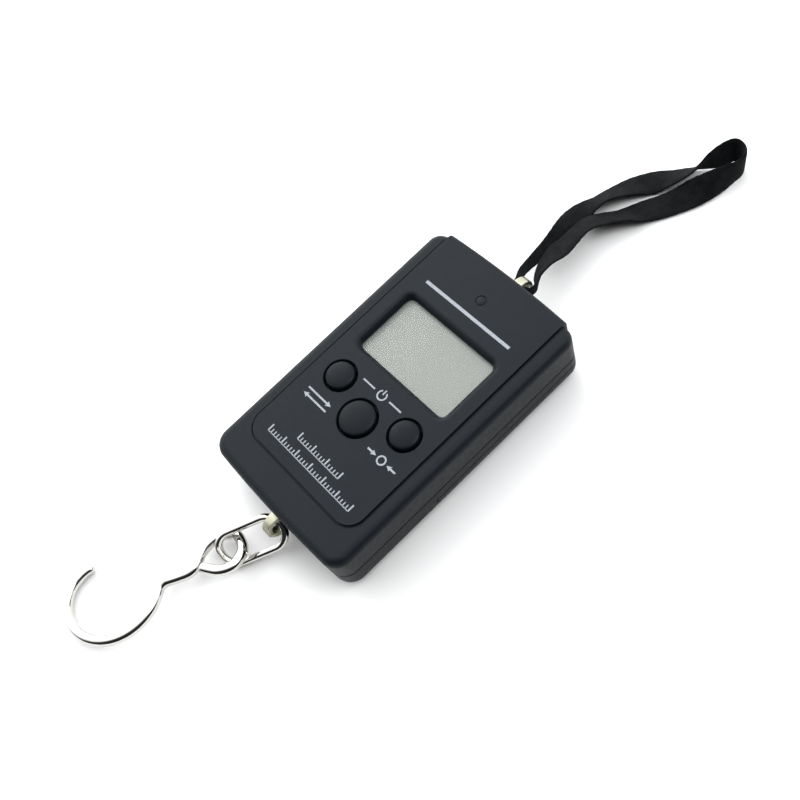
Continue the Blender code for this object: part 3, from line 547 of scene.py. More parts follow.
class Surface:
    """A Principled material; extra sockets are named with _ for each space."""

    def __init__(self, name, colour, roughness, metallic=0.0, **sockets):
        self.material = bpy.data.materials.new(name)
        self.material.use_nodes = True
        self.tree = self.material.node_tree
        self.shader = self.tree.nodes["Principled BSDF"].inputs
        self.shader["Base Color"].default_value = (*colour, 1.0)
        self.shader["Roughness"].default_value = roughness
        self.shader["Metallic"].default_value = metallic
        for socket, value in sockets.items():
            self.shader[socket.replace("_", " ")].default_value = value

    def new(self, kind, **values):
        node = self.tree.nodes.new("ShaderNode" + kind)
        for name, value in values.items():
            setattr(node, name, value)
        return node

    def link(self, source, target):
        self.tree.links.new(source, target)

    def coordinate(self, output="Object"):
        return self.new("TexCoord").outputs[output]

    def axes(self, output="Object"):
        """The coordinate's X, Y and Z apart."""
        split = self.new("SeparateXYZ")
        self.link(self.coordinate(output), split.inputs["Vector"])
        return split.outputs

    def noise(self, scale, detail=2.0, stretch=None):
        """Noise in the object's own metres, its coordinates stretched if asked."""
        node = self.new("TexNoise")
        node.inputs["Scale"].default_value = scale
        node.inputs["Detail"].default_value = detail
        where = self.coordinate()
        if stretch:
            mapping = self.new("Mapping")
            mapping.inputs["Scale"].default_value = stretch
            self.link(where, mapping.inputs["Vector"])
            where = mapping.outputs["Vector"]
        self.link(where, node.inputs["Vector"])
        return node.outputs["Fac"]

    def spread(self, value, low, high, start=0.3, end=0.7):
        """Map a value from [start, end] to [low, high]."""
        node = self.new("MapRange")
        for name, number in zip(RANGE_SOCKETS, (start, end, low, high)):
            node.inputs[name].default_value = number
        self.link(value, node.inputs["Value"])
        return node.outputs["Result"]

    def mix(self, value, first, second):
        """A mix of two colours, each a tuple or an output."""
        node = self.new("Mix", data_type="RGBA")
        for socket, colour in ((node.inputs[6], first), (node.inputs[7], second)):
            if isinstance(colour, tuple):
                socket.default_value = (*colour, 1.0)
            else:
                self.link(colour, socket)
        self.link(value, node.inputs[0])
        return node.outputs[2]

    def math(self, operation, first, second=None):
        node = self.new("Math", operation=operation)
        for socket, value in zip(node.inputs, (first, second)):
            if isinstance(value, (int, float)):
                socket.default_value = value
            elif value is not None:
                self.link(value, socket)
        return node.outputs["Value"]

    def wave(self, value):
        """The absolute sine of half turns."""
        turned = self.math("MULTIPLY", value, math.pi)
        return self.math("ABSOLUTE", self.math("SINE", turned))

    def bump(self, height, distance, strength=1.0, base=None):
        node = self.new("Bump")
        node.inputs["Strength"].default_value = strength
        node.inputs["Distance"].default_value = distance
        self.link(height, node.inputs["Height"])
        if base is not None:
            self.link(base, node.inputs["Normal"])
        self.link(node.outputs["Normal"], self.shader["Normal"])
        return node.outputs["Normal"]

    def colour(self, value, first, second, start=0.0, end=1.0):
        """Colour the surface from first to second as a value runs from start to end."""
        if (start, end) != (0.0, 1.0):
            value = self.spread(value, 0.0, 1.0, start, end)
        self.link(self.mix(value, first, second), self.shader["Base Color"])

    def roughness(self, value, low, high):
        self.link(self.spread(value, low, high), self.shader["Roughness"])


def case_plastic():
    """Satin moulded plastic: faint blotches, fine spark texture, a few handling marks."""
    look = Surface("case_plastic", (0.005, 0.007, 0.010), 0.46, Specular_IOR_Level=0.145)
    look.colour(look.noise(70.0, 3.0), (0.0046, 0.0070, 0.0104), (0.0056, 0.0082, 0.0110),
                0.35, 0.65)
    look.roughness(look.noise(900.0, 3.0), 0.42, 0.52)
    grain = look.bump(look.noise(5200.0, 2.0), 0.00003, 0.35)
    look.bump(look.noise(160.0, 1.0), 0.00012, 0.12, grain)
    return look


def button_plastic():
    """Smoother and a little darker than the case."""
    look = Surface("button_plastic", (0.004, 0.006, 0.009), 0.38, Specular_IOR_Level=0.11)
    look.colour(look.noise(300.0, 2.0), (0.0038, 0.0056, 0.0082), (0.0048, 0.0066, 0.0090),
                0.35, 0.65)
    look.roughness(look.noise(1400.0, 3.0), 0.32, 0.42)
    look.bump(look.noise(4200.0, 2.0), 0.00002, 0.3)
    return look


def lens_plastic():
    look = Surface("lens_plastic", (0.80, 0.84, 0.82), 0.12, Alpha=0.10)
    look.roughness(look.noise(350.0, 3.0), 0.08, 0.16)
    return look


def lcd_glass():
    """An idle reflective display: grey green, unevenly tinted, with a speck or two."""
    look = Surface("lcd_glass", (0.13, 0.135, 0.12), 0.28)
    tint = look.spread(look.noise(28.0, 1.0), 0.0, 1.0)
    base = look.mix(tint, (0.106, 0.117, 0.092), (0.112, 0.120, 0.100))
    speck = look.spread(look.noise(420.0, 0.0), 0.0, 0.45, 0.80, 0.84)
    look.colour(speck, base, (0.075, 0.085, 0.07))
    look.bump(look.noise(2600.0, 1.0), 0.00001, 0.2)
    return look


def chrome():
    """Bright plating with a slight haze and fine rubbed marks."""
    look = Surface("chrome", (0.66, 0.65, 0.63), 0.07, 1.0)
    look.roughness(look.noise(500.0, 3.0), 0.05, 0.13)
    look.colour(look.noise(180.0, 2.0), (0.68, 0.67, 0.65), (0.58, 0.57, 0.54), 0.3, 0.7)
    look.bump(look.noise(900.0, 3.0, (1.0, 6.0, 1.0)), 0.00003, 0.10)
    return look


def zinc_plate():
    """Pale zinc plating, drifting between silver and olive."""
    look = Surface("zinc_plate", (0.46, 0.45, 0.36), 0.3, 1.0)
    look.colour(look.noise(260.0, 3.0), (0.50, 0.48, 0.38), (0.36, 0.37, 0.27), 0.35, 0.65)
    look.roughness(look.noise(700.0, 3.0), 0.22, 0.38)
    look.bump(look.noise(2500.0, 2.0, (1.0, 8.0, 1.0)), 0.00002, 0.25)
    return look


def plated_steel():
    """Dull nickel plating of screws, springs and contacts."""
    look = Surface("plated_steel", (0.60, 0.58, 0.54), 0.3, 1.0)
    look.roughness(look.noise(900.0, 3.0), 0.22, 0.40)
    look.bump(look.noise(3000.0, 2.0), 0.00002, 0.2)
    return look


def webbing():
    """Woven black tape: alternating picks across its width, wales along it, fuzz, and painted
    shade in the hollows of the weave.
    """
    look = Surface("webbing", (0.004, 0.005, 0.006), 0.9, Sheen_Weight=0.02,
                   Sheen_Roughness=0.6, Specular_IOR_Level=0.06)
    across, along, _ = look.axes("UV")
    wale = look.math("MULTIPLY", across, WALES)
    pick = look.math("MULTIPLY", along, 1.0 / PICK_LENGTH)
    stagger = look.math("MULTIPLY", look.math("FLOOR", wale), 0.5)
    ridge = look.wave(look.math("ADD", pick, stagger))
    rib = look.wave(wale)
    weave = look.math("MULTIPLY", look.math("POWER", ridge, 0.6), look.math("POWER", rib, 0.5))
    fuzz = look.math("MULTIPLY", look.noise(3800.0, 3.0), 0.35)
    look.bump(look.math("ADD", weave, fuzz), 0.00016, 0.8)
    # Painted shade: the colour follows the weave's bump height and is darker in the hollows
    # between threads.
    dark = look.mix(weave, (0.0014, 0.0018, 0.0022), (0.0045, 0.0055, 0.0065))
    look.colour(look.noise(420.0, 4.0), dark, (0.0075, 0.0088, 0.0098), 0.35, 0.7)
    return look


def white_ink():
    look = Surface("white_ink", (0.28, 0.30, 0.33), 0.5)
    look.colour(look.noise(2200.0, 2.0), (0.19, 0.21, 0.24), (0.29, 0.31, 0.34), 0.3, 0.55)
    return look


def battery_sleeve():
    """A printed cell sleeve: dark body with a copper-coloured band at the positive end."""
    look = Surface("battery_sleeve", (0.05, 0.09, 0.16), 0.25)
    look.colour(look.axes()["Y"], (0.03, 0.05, 0.10), (0.55, 0.25, 0.10), *SLEEVE_BAND)
    look.roughness(look.noise(600.0, 3.0), 0.2, 0.32)
    return look


def board_green():
    """Solder mask over copper tracks."""
    look = Surface("board_green", (0.02, 0.10, 0.04), 0.35)
    tracks = look.new("TexBrick")
    tracks.inputs["Scale"].default_value = 300.0
    tracks.inputs["Mortar Size"].default_value = 0.03
    look.link(look.coordinate(), tracks.inputs["Vector"])
    look.colour(tracks.outputs["Fac"], (0.015, 0.08, 0.03), (0.04, 0.16, 0.06))
    look.bump(tracks.outputs["Fac"], 0.00004, 0.5)
    return look


def dark_plastic():
    """Plain black moulding and rubber inside the case."""
    look = Surface("dark_plastic", (0.015, 0.015, 0.016), 0.5)
    look.roughness(look.noise(800.0, 2.0), 0.44, 0.58)
    look.bump(look.noise(3500.0, 2.0), 0.00002, 0.3)
    return look


def floor_white():
    look = Surface("floor_white", (0.86, 0.86, 0.85), 0.6)
    look.colour(look.noise(6.0, 2.0), (0.855, 0.86, 0.86), (0.865, 0.865, 0.86), 0.3, 0.7)
    return look


MATERIALS = {
    maker.__name__: maker().material
    for maker in (
        case_plastic, button_plastic, lens_plastic, lcd_glass, chrome, zinc_plate,
        plated_steel, webbing, white_ink, battery_sleeve, board_green, dark_plastic,
        floor_white,
    )
}


# ---- camera, light, floor


def make_camera():
    data = bpy.data.cameras.new("camera")
    data.sensor_width = 36.0
    data.lens = CAMERA_LENS
    data.clip_start = 0.005
    camera = new_object("camera", data)
    right, up = Vector(CAMERA_RIGHT).normalized(), Vector(CAMERA_UP)
    up = (up - right * up.dot(right)).normalized()
    turn = Matrix((right, up, right.cross(up))).transposed()
    camera.matrix_world = Matrix.Translation(Vector(CAMERA_PLACE) * MM) @ turn.to_4x4()
    bpy.context.scene.camera = camera


def add_light(name, place, size, power):
    """A rectangular area light aimed at the origin."""
    data = bpy.data.lights.new(name, "AREA")
    data.shape = "RECTANGLE"
    data.size, data.size_y = size
    data.energy = power
    light = new_object(name, data)
    light.location = place
    light.rotation_euler = (-Vector(place)).to_track_quat("-Z", "Y").to_euler()


def make_sky():
    """A world that is bright on one side and fades towards SKY_TURN."""
    world = bpy.data.worlds.new("studio")
    world.use_nodes = True
    tree = world.node_tree
    background = tree.nodes["Background"]
    background.inputs["Color"].default_value = SKY_COLOUR
    direction = tree.nodes.new("ShaderNodeTexCoord")
    along = tree.nodes.new("ShaderNodeVectorMath")
    along.operation = "DOT_PRODUCT"
    along.inputs[1].default_value = SKY_TURN
    ramp = tree.nodes.new("ShaderNodeMapRange")
    ramp.interpolation_type = "SMOOTHSTEP"
    for name, number in zip(RANGE_SOCKETS, SKY_RAMP):
        ramp.inputs[name].default_value = number
    tree.links.new(direction.outputs["Generated"], along.inputs[0])
    tree.links.new(along.outputs["Value"], ramp.inputs["Value"])
    tree.links.new(ramp.outputs["Result"], background.inputs["Strength"])
    bpy.context.scene.world = world


def make_floor():
    bm = bmesh.new()
    bmesh.ops.create_grid(bm, x_segments=2, y_segments=2, size=FLOOR_HALF)
    floor = new_object("floor", mesh_from(bm))
    floor.data.materials.append(MATERIALS["floor_white"])


def make_studio():
    """A broad key from the left, a soft fill, a one-sided sky and the floor."""
    bpy.context.scene.view_settings.view_transform = "Standard"
    add_light("key", KEY_PLACE, KEY_SIZE, KEY_POWER)
    add_light("fill", FILL_PLACE, FILL_SIZE, FILL_POWER)
    make_sky()
    make_floor()


# ---- strap


def strap_section():
    """(across, through) points round the tape's section, a flat lens, for a half width of 1."""
    section = []
    for i in range(SECTION_STEPS + 1):
        u = math.cos(math.pi * i / SECTION_STEPS)
        section.append((u, 0.5 * (1 - u**SECTION_POWER) ** 0.5 + SELVEDGE_HALF))
    return section + [(u, -v) for u, v in reversed(section)]


def selvedge(waves, phase):
    return sum((size * math.sin(count * phase + shift) for size, count, shift in waves), 1)


def strap_rings(rows, section):
    """The section set along the route, banked and widened as its rows say."""
    centres = rows[:, :3]
    tangents = np.roll(centres, -1, axis=0) - np.roll(centres, 1, axis=0)
    rings = []
    for index, (row, tangent) in enumerate(zip(rows, tangents)):
        centre, angle, half = Vector(row[:3]), math.radians(row[3]), row[4]
        tangent = Vector(tangent).normalized()
        side = tangent.cross(Vector((0.0, 0.0, 1.0))).normalized()
        width = side * math.cos(angle) + side.cross(tangent) * math.sin(angle)
        depth = width.cross(tangent) * STRAP_THICKNESS
        phase = 2 * math.pi * index / STRAP_STATIONS
        left, right = selvedge(LEFT_SELVEDGE, phase), selvedge(RIGHT_SELVEDGE, phase)
        rings.append([
            centre + width * half * u * (left if u < 0 else right) + depth * v
            for u, v in section
        ])
    return rings


def lay_uv(mesh, section, length):
    """Unwrap the strap: a share of its width one way, metres of its length the other."""
    layer = mesh.uv_layers.new(name="UVMap")
    count = len(section)
    for polygon in mesh.polygons:
        stations = [mesh.loops[i].vertex_index // count for i in polygon.loop_indices]
        wraps = max(stations) - min(stations) > 2
        for loop_index, station in zip(polygon.loop_indices, stations):
            u = section[mesh.loops[loop_index].vertex_index % count][0]
            v = station + (STRAP_STATIONS if wraps and station < 2 else 0)
            layer.data[loop_index].uv = (u / 2 + 0.5, v * length * MM / STRAP_STATIONS)


def strap():
    """The webbing loop, its edges slightly uneven."""
    rows = smooth_route(STRAP_ROUTE, STRAP_STATIONS, closed=True)
    section = strap_section()
    mesh = loft_mesh(strap_rings(rows, section), closed=True)
    centres = rows[:, :3]
    once_round = np.vstack((centres, centres[:1]))
    length = float(np.linalg.norm(np.diff(once_round, axis=0), axis=1).sum())
    lay_uv(mesh, section, length)
    piece = add_piece("wrist_strap", mesh, "webbing", "strap", ["strap"],
                      sharp=80.0, weighted=False)


# ---- case


def quarter(radius, steps=EDGE_STEPS):
    """(inset, rise) pairs round a quarter edge."""
    return [
        (radius * (1 - math.cos(a)), radius * math.sin(a))
        for a in np.radians(np.linspace(0.0, 90.0, steps + 1))
    ]


def plug(radius, low, high):
    """The profile of a plain cylinder."""
    return [(0.0, high), (radius, high), (radius, low), (0.0, low)]


def tongue_slot():
    """The opening in both end walls for the load cell's tongues."""
    half = CELL_HALF_THICKNESS + TONGUE_GAP[0]
    low, high = EYE_Z - EYE_RADIUS - TONGUE_GAP[1], EYE_Z + EYE_RADIUS + TONGUE_GAP[1]
    return boxes_mesh([((-half, -PAST_END, low), (half, PAST_END, high))])


def recess_steps(low, high):
    """Thicken the hook-end wall between two heights and sink the ring's recess into it."""
    half = RECESS_HALF_WIDTH + WALL
    block = [((-half, RECESS_FLOOR - RECESS_LAP, low), (half, RECESS_FLOOR + WALL, high))]
    half = RECESS_HALF_WIDTH
    space = [((-half, -PAST_END, RECESS_Z[0]), (half, RECESS_FLOOR, RECESS_Z[1]))]
    return [add(boxes_mesh(block)), cut(boxes_mesh(space)), cut(tongue_slot())]


def lip_rows(level, lip, up):
    """Rows of a softened seam edge, going up (1) or down (-1) from its level."""
    depths = ((lip, 0.0), (lip * LIP_SHARE, lip * LIP_SHARE), (0.0, lip))
    return [(case_outline(inset), level + up * depth) for inset, depth in depths]


def front_rows():
    """Rows of the front shell's outside, from the softened seam over the rounded rim."""
    top = CASE_FRONT - FRONT_EDGE_RADIUS
    return lip_rows(FRONT_SEAM, LIP, 1) + [
        (case_outline(inset), top + rise) for inset, rise in quarter(FRONT_EDGE_RADIUS)
    ]


def groove():
    narrow = panel_outline(GROOVE_WIDTH, PAST_END)
    wide = panel_outline(GROOVE_WIDTH + GROOVE_FLARE, PAST_END)
    return slab_mesh([
        (narrow, CASE_FRONT - GROOVE_DEPTH), (narrow, CASE_FRONT + GROOVE_EASE[0]),
        (wide, CASE_FRONT + GROOVE_EASE[1]), (wide, ABOVE),
    ])


def panel():
    """The raised panel, its edge eased all round and its strap end rounded off."""
    bottom = PANEL_FRONT - PANEL_EDGE_RADIUS
    rows = [(panel_outline(), FRONT_SEAM + PANEL_LIFT)]
    for inset, rise in quarter(PANEL_EDGE_RADIUS):
        near_top = max(0.0, rise - PANEL_EDGE_RADIUS + PANEL_EDGE)
        side = PANEL_EDGE - math.sqrt(max(PANEL_EDGE**2 - near_top**2, 0.0))
        rows.append((panel_outline(-side, PANEL_STRAP_END - inset), bottom + rise))
    return slab_mesh(rows)


def front_hollow():
    spring = INNER_FRONT - FRONT_EDGE_RADIUS + WALL
    rows = [(case_outline(WALL), FRONT_SEAM - 1.0)]
    for inset, rise in quarter(FRONT_EDGE_RADIUS - WALL, steps=4):
        rows.append((case_outline(WALL + inset), spring + rise))
    return slab_mesh(rows)


def window():
    return slab_mesh([
        (window_outline(WINDOW_HALF, WINDOW_CORNER, grow), z) for grow, z in WINDOW_WALL
    ])


def lens_pocket():
    outline = window_outline([size + GAP for size in LENS_HALF], POCKET_CORNER)
    return slab_mesh([(outline, INNER_FRONT - 1.0), (outline, LENS_Z[1] + GAP)])


def panel_holes():
    """Button holes with eased rims, and the shallow round well near the strap end."""
    low, high = HOLE_Z
    holes = []
    for x, y, hole, _ in BUTTONS.values():
        edge = rim(hole, PANEL_FRONT, HOLE_RIM)
        profile = [(0.0, high), (edge[0][0], high), *edge, (hole, low), (0.0, low)]
        holes.append(turned_mesh(profile, 64, (x, y, 0.0)))
    well = plug(DOT_RADIUS, PANEL_FRONT - DOT_DEPTH, high)
    holes.append(turned_mesh(well, 48, (0.0, DOT_Y, 0.0)))
    return joined(holes)


def front_case():
    """Front shell: rounded rim, raised panel in its groove, flared window, button holes."""
    mesh = carved(slab_mesh(front_rows()), [
        cut(groove()), add(panel()), cut(front_hollow()),
        cut(lens_pocket()), cut(window()), cut(panel_holes()),
        *recess_steps(FRONT_SEAM + SEAM_LAP, RECESS_Z[1] + WALL),
    ])
    add_piece("front_shell", mesh, "case_plastic", "root", ["front_case"])


def panel_dot():
    """The blank disc that fills the panel's round well."""
    edge = rim(DOT_RADIUS, PANEL_FRONT, DOT_RIM)
    profile = [(0.0, edge[0][1]), *edge, (0.0, edge[-1][1])]
    add_piece("panel_dot", turned_mesh(profile, 48, (0.0, DOT_Y, 0.0)),
              "case_plastic", "root")


def back_rows(top, lip):
    """Rows of the rounded back, from the flat back up to a softened top edge."""
    rows = [
        (case_outline(BACK_EDGE_RADIUS - rise), inset)
        for inset, rise in quarter(BACK_EDGE_RADIUS)
    ]
    return rows + lip_rows(top, lip, -1)[::-1]


def back_hollow(top):
    radius = BACK_EDGE_RADIUS - WALL
    rows = [
        (case_outline(WALL + radius * (1 - math.sin(a))), WALL + radius * (1 - math.cos(a)))
        for a in np.radians(np.linspace(0.0, 90.0, HOLLOW_STEPS + 1))
    ]
    return slab_mesh(rows + [(case_outline(WALL), top + 1.0)])


def bay_walls():
    """Union steps for the bulkhead, and the battery bay's sides and shelves."""
    reach = INNER_SIDE + LAP
    bulkhead = [((-reach, DOOR_HOOK_EDGE - BULKHEAD, WALL - LAP),
                 (reach, DOOR_HOOK_EDGE, REAR_TOP))]
    steps = [add(boxes_mesh(bulkhead))]
    start, outer = DOOR_HOOK_EDGE - BAY_LAP, INNER_SIDE + BAY_LAP
    walls = (
        (BAY_SIDE_X, (start, BAY_SIDE_END), (BAY_LEDGE_Z, REAR_TOP)),
        ((BAY_SIDE_X[0], outer), (start, SHELF_END), (DOOR_TOP, REAR_TOP)),
        ((SHELF_CORNER[0], outer), (SHELF_CORNER[1], SHELF_END), (DOOR_TOP, REAR_TOP)),
    )
    for side in (-1, 1):
        for x, y, z in walls:
            low, high = sorted((side * x[0], side * x[1]))
            wall = [((low, y[0], z[0]), (high, y[1], z[1]))]
            steps.append(add(boxes_mesh(wall)))
    return steps


def screw_seats():
    """Steps for the hook-end bosses with their bores, and for all four screw holes."""
    radius, ease, deep = BORE
    bore = [(0.0, deep), (radius, deep), (radius, ease), (BORE_MOUTH, 0.0),
            (BORE_MOUTH, BELOW), (0.0, BELOW)]
    return [
        add(turned_at(HOOK_SCREWS, plug(*BOSS), 40)),
        cut(turned_at(HOOK_SCREWS, bore, 48)),
        cut(turned_at(HOOK_SCREWS + STRAP_SCREWS, plug(*SCREW_HOLE), 32)),
    ]


def rear_case():
    """Rear shell: rounded back up to the door, battery bay, screw bosses, ring recess."""
    door = [((-PAST_SIDE, DOOR_HOOK_EDGE, BELOW), (PAST_SIDE, PAST_END, DOOR_TOP))]
    mesh = carved(slab_mesh(back_rows(REAR_TOP, LIP)), [
        cut(back_hollow(REAR_TOP)), cut(boxes_mesh(door)),
        *bay_walls(), *screw_seats(), *recess_steps(WALL - LAP, REAR_TOP - SEAM_LAP),
    ])
    add_piece("rear_shell", mesh, "case_plastic", "root", ["rear_case"])


def thumb_grip():
    half_x, half_y = RIB_HALF
    return boxes_mesh([
        ((-half_x, y - half_y, BELOW), (half_x, y + half_y, RIB_DEPTH))
        for y in np.arange(*RIB_ROWS)
    ])


def battery_door():
    """Door: the strap end of the back, with a ribbed thumb grip and a slide arrow."""
    top = DOOR_TOP - GAP
    beyond = [((-PAST_SIDE, -PAST_END, BELOW), (PAST_SIDE, DOOR_HOOK_EDGE + GAP, ABOVE))]
    slide_arrow = [(SLIDE_ARROW, BELOW), (SLIDE_ARROW, SLIDE_ARROW_DEPTH)]
    mesh = carved(slab_mesh(back_rows(top, DOOR_LIP)), [
        cut(back_hollow(top)),
        cut(boxes_mesh(beyond)),
        cut(boxes_mesh([NOTCH])),
        cut(thumb_grip()),
        cut(slab_mesh(slide_arrow)),
    ])
    add_piece("door_shell", mesh, "case_plastic", "battery_door", ["battery_door"])


def display_lens():
    """The clear window pane, eased on both faces."""
    full = window_outline(LENS_HALF, LENS_CORNER)
    eased = window_outline(LENS_HALF, LENS_CORNER, -LENS_CHAMFER)
    low, high = LENS_Z
    mesh = slab_mesh([
        (eased, low), (full, low + LENS_CHAMFER), (full, high - LENS_CHAMFER), (eased, high),
    ])
    add_piece("window_lens", mesh, "lens_plastic", "root", ["lcd_lens"])


def display_glass():
    """The display behind the pane, eased on its front."""
    full = window_outline(LCD_HALF, LCD_CORNER)
    eased = window_outline(LCD_HALF, LCD_CORNER, -LCD_CHAMFER)
    low, high = LCD_Z
    mesh = slab_mesh([(full, low), (full, high - LCD_CHAMFER), (eased, high)])
    add_piece("display_glass", mesh, "lcd_glass", "root", ["lcd_glass"])


def buttons():
    """Domed caps with a softened shoulder, each turned about its own travel axis."""
    rise = BUTTON_TOP - BUTTON_SHOULDER
    low, high = FLANGE_Z
    for name, (x, y, _, cap) in BUTTONS.items():
        slim = cap - CAP_SLIMMING
        profile = [(0.0, BUTTON_TOP)]
        for a in np.radians(np.linspace(*DOME_ANGLES)):
            out, up = math.sin(a) ** DOME_POWERS[0], math.cos(a) ** DOME_POWERS[1]
            profile.append((slim * out, BUTTON_SHOULDER + rise * up))
        profile += [
            (slim, BUTTON_SHOULDER - SKIRT_DROP), (cap, high + FLANGE_FILLET), (cap, high),
            (cap + FLANGE_MARGIN, high), (cap + FLANGE_MARGIN, low), (FOOT_RADIUS, low),
            (FOOT_RADIUS, FOOT_Z), (0.0, FOOT_Z),
        ]
        node = name + "_button"
        add_piece(name + "_cap", turned_mesh(profile, 72, (x, y, 0.0)),
                  "button_plastic", node, [node], weighted=False)


# ---- printed marks


def bar(start, end, width):
    """The outline of a straight stroke."""
    start, end = Vector(start), Vector(end)
    along = (end - start).normalized()
    side = Vector((-along.y, along.x)) * width / 2
    return [tuple(p) for p in (start + side, start - side, end - side, end + side)]


def ring_strokes(centre, radius, width, start, end, steps):
    """An arc stroke, as short four-sided outlines that share their ends."""
    inner = arc(centre, radius - width / 2, start, end, steps)
    outer = arc(centre, radius + width / 2, start, end, steps)
    return [[inner[i], inner[i + 1], outer[i + 1], outer[i]] for i in range(steps)]


def arrow(tail, tip, head):
    """A stroke with a triangular head."""
    tail, tip = Vector(tail), Vector(tip)
    along = (tip - tail).normalized()
    side = Vector((-along.y, along.x)) * head / 2
    base = tip - along * head
    return [bar(tail, base, ARROW_WIDTH), [tuple(base + side), tuple(base - side), tuple(tip)]]


def tick_row(first, last, y):
    """A row of graduation ticks on a base line, some of them longer."""
    bottom = y - TICK_HEIGHT
    shapes = [bar((first, bottom), (last, bottom), TICK_BASE_WIDTH)]
    count = int(round((last - first) / TICK_PITCH))
    for i in range(count + 1):
        x = first + (last - first) * i / count
        share, width = SHORT_TICK if i % TICKS_PER_LONG else LONG_TICK
        shapes.append(bar((x, bottom), (x, y + TICK_HEIGHT * share), width))
    return shapes


def power_symbol():
    """A broken ring with a stem, between two dashes."""
    shapes = ring_strokes(POWER_CENTRE, POWER_RADIUS, POWER_WIDTH, *POWER_OPENING, 26)
    shapes.append(bar(*POWER_STEM, POWER_WIDTH))
    return shapes + [bar(*ends, DASH_WIDTH) for ends in POWER_DASHES]


def printed_marks():
    """White line, function symbols in place of words, and two rows of ticks."""
    shapes = [bar((-LINE_HALF_LENGTH, LINE_Y), (LINE_HALF_LENGTH, LINE_Y), LINE_WIDTH)]
    for ends in SWAP_ARROWS:
        shapes += arrow(*ends, SWAP_HEAD)
    shapes += power_symbol()
    shapes += ring_strokes(ZERO_CENTRE, ZERO_RADIUS, DASH_WIDTH, 0.0, 360.0, 28)
    for ends in ZERO_ARROWS:
        shapes += arrow(*ends, ZERO_HEAD)
    for row in TICK_ROWS:
        shapes += tick_row(*row)
    solids = [slab_mesh([(shape, INK_Z[0]), (shape, INK_Z[1])]) for shape in shapes]
    add_piece("printed_marks", joined(solids), "white_ink", "root",
              weighted=False)


# ---- metal parts


# Turns a solid drawn about Z so that it stands about X.
ON_EDGE = Matrix(((0, 0, 1, 0), (1, 0, 0, 0), (0, 1, 0, 0), (0, 0, 0, 1)))


def plate_outline(inset):
    points = arc((EYE_Y, EYE_Z), EYE_RADIUS - inset, -90.0, 90.0, 32)
    return points + arc((-EYE_Y, EYE_Z), EYE_RADIUS - inset, 90.0, 270.0, 32)


def eye_cuts():
    upper = rim(EYE_HOLE_RADIUS, CELL_HALF_THICKNESS, EYE_RIM)
    half = [(0.0, upper[0][1]), *upper]
    profile = half + [(radius, -z) for radius, z in reversed(half)]
    return [
        cut(turned_mesh(profile, 56, (0.0, y, EYE_Z), ON_EDGE))
        for y in (-EYE_Y, EYE_Y)
    ]


def gauge_cuts():
    """The two bores and the slot between them that thin the plate in the middle."""
    bore = plug(WEB_BORE_RADIUS, -PLATE_CUT, PLATE_CUT)
    steps = [
        cut(turned_mesh(bore, 32, (0.0, y, EYE_Z), ON_EDGE))
        for y in (-WEB_BORE_Y, WEB_BORE_Y)
    ]
    slot = [((-PLATE_CUT, -WEB_BORE_Y, EYE_Z - WEB_SLOT_HALF),
             (PLATE_CUT, WEB_BORE_Y, EYE_Z + WEB_SLOT_HALF))]
    return steps + [cut(boxes_mesh(slot))]


def load_cell():
    """The plate on edge with its two eyes, thinned in the middle."""
    half = CELL_HALF_THICKNESS
    rows = [(plate_outline(inset), -half + rise) for inset, rise in CELL_EDGE]
    rows += [(plate_outline(inset), half - rise) for inset, rise in reversed(CELL_EDGE)]
    plate = slab_mesh(rows)
    plate.transform(ON_EDGE)
    add_piece("load_cell_plate", carved(plate, eye_cuts() + gauge_cuts()),
              "zinc_plate", "root", ["load_cell"])


def link():
    """The steel ring: two straight sides and two round ends."""
    half, radius = LINK_HALF_STRAIGHT, LINK_END_RADIUS
    round_steps, straight_steps = LINK_STEPS
    outline = []
    for side in (1, -1):
        start = -90.0 * side
        outline += arc((side * half, 0.0), radius, start, start + 180.0, round_steps)
        outline += [
            (side * (half - 2 * half * t), side * radius)
            for t in np.linspace(0, 1, straight_steps)[1:-1]
        ]
    along = Vector(LINK_LONG_AXIS).normalized()
    normal = Vector(LINK_NORMAL)
    normal = (normal - along * normal.dot(along)).normalized()
    across = normal.cross(along)
    points = [Vector(LINK_CENTRE) + along * x + across * y for x, y in outline]
    mesh = sweep_mesh(points, [LINK_WIRE] * len(points), closed=True)
    add_piece("steel_ring", mesh, "chrome", "link", ["link"],
              weighted=False)


def hook_route():
    """The wire's centre line: tip, bend, neck and hand-bent eye."""
    big, small, neck = HOOK_BEND_RADIUS, HOOK_TIP_RADIUS, HOOK_NECK_RADIUS
    turn = math.radians(HOOK_BEND_TURN)
    inner = ((big - small) * math.cos(turn), (big - small) * math.sin(turn))
    neck_x = HOOK_SHANK_X + neck
    neck_y = math.sqrt((big + neck) ** 2 - neck_x**2)
    meeting = math.degrees(math.atan2(neck_y, neck_x))
    points = arc(inner, small, HOOK_TIP_TURN, HOOK_BEND_TURN + 360.0, TIP_STEPS)
    points = points[:-1] + arc((0.0, 0.0), big, HOOK_BEND_TURN, meeting, BEND_STEPS)
    points = points[:-1] + arc((neck_x, neck_y), neck, meeting + 180.0, 180.0, NECK_STEPS)
    points = [(x, y, 0.0) for x, y in points]
    eye = smooth_route((points[-1],) + HOOK_EYE_ROUTE, EYE_STATIONS)
    points += [tuple(point) for point in eye[1:]]
    return smooth_route(points[::2] + points[-1:], HOOK_STATIONS)


def wire_radii(route):
    """The hook wire's radius along its route: a slimmer tip and two rounded ends."""
    length = float(np.linalg.norm(np.diff(route, axis=0), axis=1).sum())
    radii = []
    for t in np.linspace(0.0, 1.0, len(route)) * length:
        taper = min(1.0, TIP_SHARE + (1 - TIP_SHARE) * t / TIP_LENGTH)
        from_end = max(1 - min(t, length - t) / END_ROUNDING, 0.0)
        radii.append(HOOK_WIRE * taper * math.sqrt(max(1 - from_end**2, END_SHARE)))
    return radii


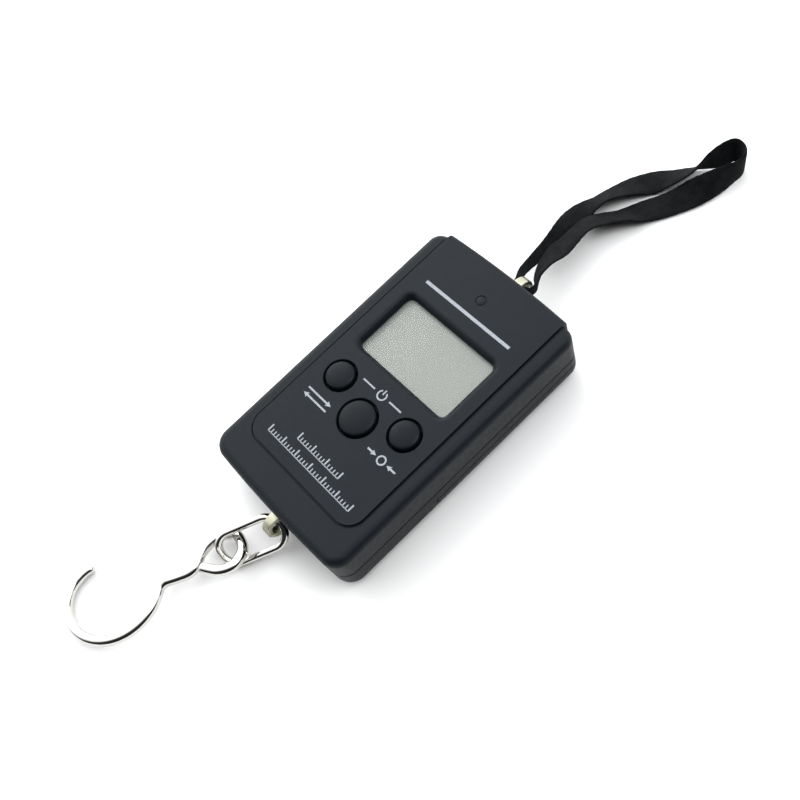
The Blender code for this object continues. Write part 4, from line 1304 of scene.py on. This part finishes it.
def hook():
    """The steel hook: a bend with a tapered tip, a neck and a hand-bent eye."""
    place = Matrix.Translation(HOOK_ORIGIN)
    for angle, axis in zip(HOOK_TURN, "XYZ"):
        place = place @ Matrix.Rotation(math.radians(angle), 4, axis)
    route = hook_route()
    mesh = sweep_mesh([place @ Vector(p) for p in route], wire_radii(route))
    add_piece("steel_hook", mesh, "chrome", "hook", ["hook"],
              sharp=60.0, weighted=False)


def screw(x, y, bottom):
    """A round-headed screw with a cross recess, its head facing the back."""
    head, shank = SCREW_HEAD_RADIUS, SCREW_SHANK_RADIUS
    profile = [
        (0.0, SCREW_TIP), (SCREW_POINT_RADIUS, SCREW_TIP), (shank, SCREW_TIP - SCREW_POINT),
        (shank, bottom + HEAD_HEIGHT), (head, bottom + HEAD_HEIGHT),
    ]
    profile += [(head * share, bottom + rise) for share, rise in HEAD_DOME]
    body = turned_mesh(profile + [(0.0, bottom)], 40, (x, y, 0.0))
    steps = []
    for half_x, half_y in (CROSS_HALF, CROSS_HALF[::-1]):
        arm = [((x - half_x, y - half_y, bottom + BELOW),
                (x + half_x, y + half_y, bottom + CROSS_DEPTH))]
        steps.append(cut(boxes_mesh(arm)))
    return carved(body, steps)


def screws():
    places = [(*place, HOOK_SCREW_BOTTOM) for place in HOOK_SCREWS]
    places += [(*place, STRAP_SCREW_BOTTOM) for place in STRAP_SCREWS]
    for number, place in enumerate(places, 1):
        add_piece(f"screw_{number}", screw(*place), "plated_steel", "root",
                  [f"case_screw_{number}"], weighted=False)


CAD_MATERIALS = {
    "board_green": ["circuit_board"],
    "battery_sleeve": ["battery_left", "battery_right"],
    "dark_plastic": [
        "controller_blob", "lcd_elastomer", "unit_switch", "power_switch", "tare_switch",
        "gauge_coating_left", "gauge_coating_right", "sensor_lead",
    ],
    "plated_steel": [
        "contact_plate_hook_left", "contact_plate_hook_right", "bridge_contact",
        "battery_spring_left", "battery_spring_right",
        *(f"board_screw_{number}" for number in range(1, 5)),
    ],
}


def dress_inner_parts():
    """Inner parts keep their CAD shape and get their finish here."""
    for material, nodes in CAD_MATERIALS.items():
        for node in nodes:
            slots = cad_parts[node].data.materials
            slots.clear()
            slots.append(MATERIALS[material])


make_camera()
strap()
make_studio()
front_case()
panel_dot()
rear_case()
battery_door()
display_lens()
display_glass()
buttons()
printed_marks()
load_cell()
link()
hook()
screws()
dress_inner_parts()
